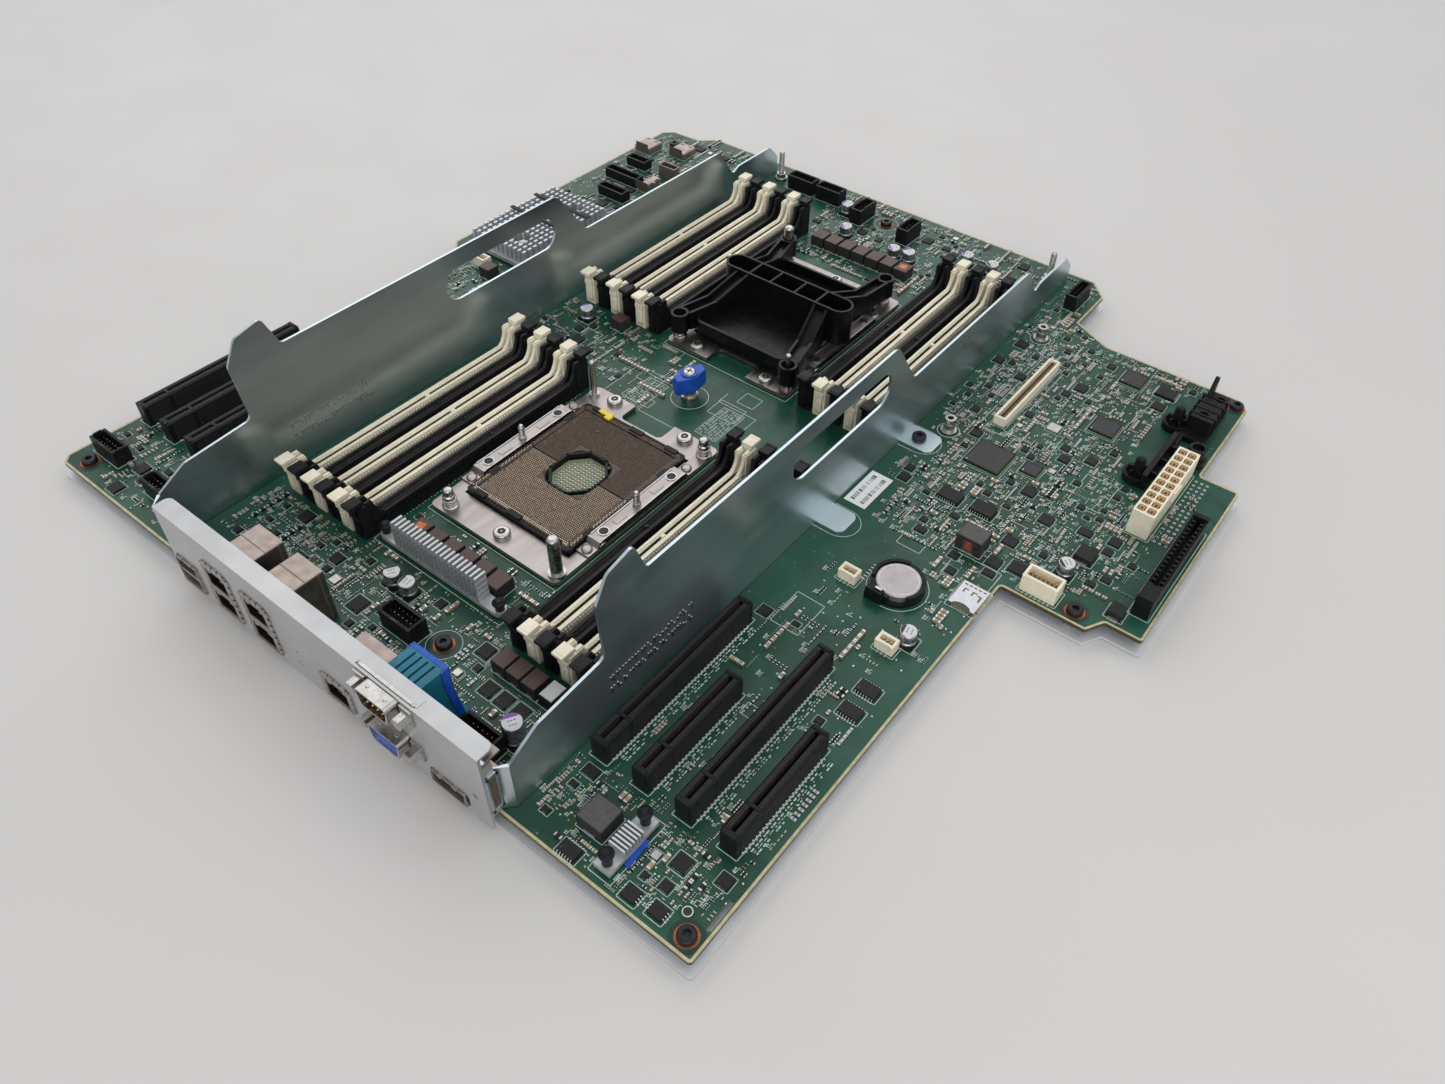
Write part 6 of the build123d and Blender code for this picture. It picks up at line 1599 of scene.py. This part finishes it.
def small_parts():
    """Square packages, rows of passives, printed strokes and test pads on the free board."""
    board = FreeBoard()
    chips = Build("epoxy", "tan_chip", "grey_chip", "solder", "gold", "die_label", "bright", "silk")
    kinds = [kind for kind, often in PARTS]
    often = [weight for kind, weight in PARTS]
    # small square packages first, then rows of passives round them
    for x0, y0, x1, y1, runs in CROWDS:
        for i in range(runs // 9):
            x, y = random.uniform(x0, x1), random.uniform(y0, y1)
            size = random.choice((2.4, 3.0, 3.0, 4.0, 5.0, 6.0))
            deep = size if random.random() < 0.7 else size * 0.7
            if not board.free(x - size / 2, y - deep / 2, x + size / 2, y + deep / 2, 0.7):
                continue
            board.take(x - size / 2, y - deep / 2, x + size / 2, y + deep / 2, 0.9)
            tall = 0.85 if size < 5 else 1.0
            for side in (-1, 1):
                chips.block(x + side * (size / 2 + 0.75), y, PRINT_Z, 0.2, deep + 1.7, PRINT_THICK,
                            "silk")
                chips.block(x, y + side * (deep / 2 + 0.75), PRINT_Z, size + 1.7, 0.2, PRINT_THICK,
                            "silk")
            silver = random.random() < 0.07
            chips.block(x, y, BOARD_TOP + 0.05, size, deep, tall, "bright" if silver else "epoxy")
            for step in centred_steps(int((size - 0.6) / FINE_PITCH), FINE_PITCH):
                for side in (-1, 1):
                    chips.block(x + step, y + side * (deep / 2 + 0.1), BOARD_TOP, 0.3, 0.5, 0.2,
                                "solder")
            if not silver:
                chips.block(x - size * 0.3, y - deep * 0.3, BOARD_TOP + tall + 0.04, 0.4, 0.4, 0.03,
                            "die_label")
    for x0, y0, x1, y1, runs in CROWDS:
        for i in range(runs):
            length, width, height, body, metal = random.choices(kinds, often)[0]
            turned = random.random() < 0.5
            stacked = random.random() < 0.75
            wide, deep = (width, length) if turned else (length, width)
            count = random.randint(1, 7)
            pitch = (deep if stacked else wide) + random.choice((0.45, 0.6, 1.1))
            x, y = random.uniform(x0, x1), random.uniform(y0, y1)
            for k in range(count):
                px, py = (x, y + k * pitch) if stacked else (x + k * pitch, y)
                if not board.free(px - wide / 2, py - deep / 2, px + wide / 2, py + deep / 2, 0.0):
                    continue
                board.take(px - wide / 2, py - deep / 2, px + wide / 2, py + deep / 2, 0.0)
                chips.block(px, py, BOARD_TOP + 0.03, wide - (0 if turned else 0.2 * length),
                            deep - (0.2 * length if turned else 0), height, body)
                for side in (-1, 1):
                    if turned:
                        chips.block(px, py + side * length * 0.42, BOARD_TOP, wide * 0.98,
                                    length * 0.22, height + 0.05, metal)
                    else:
                        chips.block(px + side * length * 0.42, py, BOARD_TOP, length * 0.22,
                                    deep * 0.98, height + 0.05, metal)
            # a printed bracket beside some runs
            if random.random() < 0.8:
                px, py = x - wide / 2 - 0.7, y
                if board.free(px - 0.2, py - 0.2, px + 0.2, py + 2.0, 0.0):
                    chips.block(px, py + 0.9, PRINT_Z, 0.22, 2.2, PRINT_THICK, "silk")
                    chips.block(px + 0.45, py + 2.0, PRINT_Z, 0.9, 0.22, PRINT_THICK, "silk")
                    for dash in range(random.randint(2, 4)):
                        chips.block(px - 0.9, py + 0.75 * dash, PRINT_Z, 0.8, 0.42, PRINT_THICK,
                                    "silk")
        # test pads and vias
        for i in range(runs):
            x, y = random.uniform(x0, x1), random.uniform(y0, y1)
            if board.free(x - 0.4, y - 0.4, x + 0.4, y + 0.4, 0.0):
                board.take(x - 0.4, y - 0.4, x + 0.4, y + 0.4, 0.0)
                chips.lathe(x, y, [(0.42, BOARD_TOP + 0.01), (0.36, BOARD_TOP + 0.09)],
                            random.choice(("solder", "gold", "silk")), 8, False)
    chips.piece("surface_parts")


chip_details()
small_parts()


# ---- floor, light and camera ----
def floor():
    mesh = bpy.data.meshes.new("floor")
    half = 6.0
    mesh.from_pydata([(-half, -half, 0), (half, -half, 0), (half, half, 0), (-half, half, 0)], [],
                     [(0, 1, 2, 3)])
    look = Shader("table_top", 0.0, 0.5)
    look.colour(look.mix(look.noise(260.0, 3.0), (0.565, 0.55, 0.535), (0.615, 0.60, 0.585)))
    look.roughness(look.ramp(look.noise(90.0, 4.0), 0.3, 0.7, 0.42, 0.6))
    mesh.materials.append(look.material)
    thing = bpy.data.objects.new("floor", mesh)
    thing.location.z = -0.0004
    bpy.context.scene.collection.objects.link(thing)


def soft_light(name, spot, aim, size, power, colour=(1, 1, 1)):
    lamp = bpy.data.lights.new(name, "AREA")
    lamp.shape = "RECTANGLE"
    lamp.size, lamp.size_y = size
    lamp.energy = power
    lamp.color = colour
    thing = bpy.data.objects.new(name, lamp)
    thing.location = spot
    thing.rotation_euler = (Vector(aim) - Vector(spot)).to_track_quat("-Z", "Y").to_euler()
    bpy.context.scene.collection.objects.link(thing)


def room_light():
    world = bpy.data.worlds.new("room")
    bpy.context.scene.world = world
    world.use_nodes = True
    world.node_tree.nodes["Background"].inputs["Color"].default_value = (0.90, 0.915, 0.94, 1)
    world.node_tree.nodes["Background"].inputs["Strength"].default_value = 0.66
    soft_light("window", (-1.8, 1.6, 2.0), (0, 0, 0), (3.2, 2.4), 30)
    soft_light("ceiling", (0.9, 0.3, 2.3), (0, 0, 0), (3.0, 2.2), 15)
    soft_light("fill", (1.3, -1.9, 1.2), (0, 0, 0.05), (2.4, 1.6), 22, (1, 0.99, 0.98))


CAMERA_SPOT = Vector((262.918, -344.452, 360.918)) * MM
CAMERA_AZIMUTH = math.radians(36.718)
CAMERA_HEIGHT_ANGLE = math.radians(44.220)
CAMERA_ROLL = math.radians(1.6207)
LENS = 27.302
SHIFT = (-0.0114, -0.0231)


def camera():
    azimuth, height = CAMERA_AZIMUTH, CAMERA_HEIGHT_ANGLE
    back = Vector((math.sin(azimuth) * math.cos(height), -math.cos(azimuth) * math.cos(height),
                   math.sin(height)))
    level = Vector((math.cos(azimuth), math.sin(azimuth), 0))
    upward = back.cross(level)
    right = level * math.cos(CAMERA_ROLL) + upward * math.sin(CAMERA_ROLL)
    top = upward * math.cos(CAMERA_ROLL) - level * math.sin(CAMERA_ROLL)
    lens = bpy.data.cameras.new("camera")
    lens.lens = LENS
    lens.sensor_width = 36
    lens.shift_x, lens.shift_y = SHIFT
    lens.clip_start = 0.01
    thing = bpy.data.objects.new("camera", lens)
    turn = Matrix((right, top, back)).transposed()
    thing.matrix_world = Matrix.Translation(CAMERA_SPOT) @ turn.to_4x4()
    bpy.context.scene.collection.objects.link(thing)
    bpy.context.scene.camera = thing


floor()
room_light()
camera()
bpy.context.scene.view_settings.view_transform = "Standard"
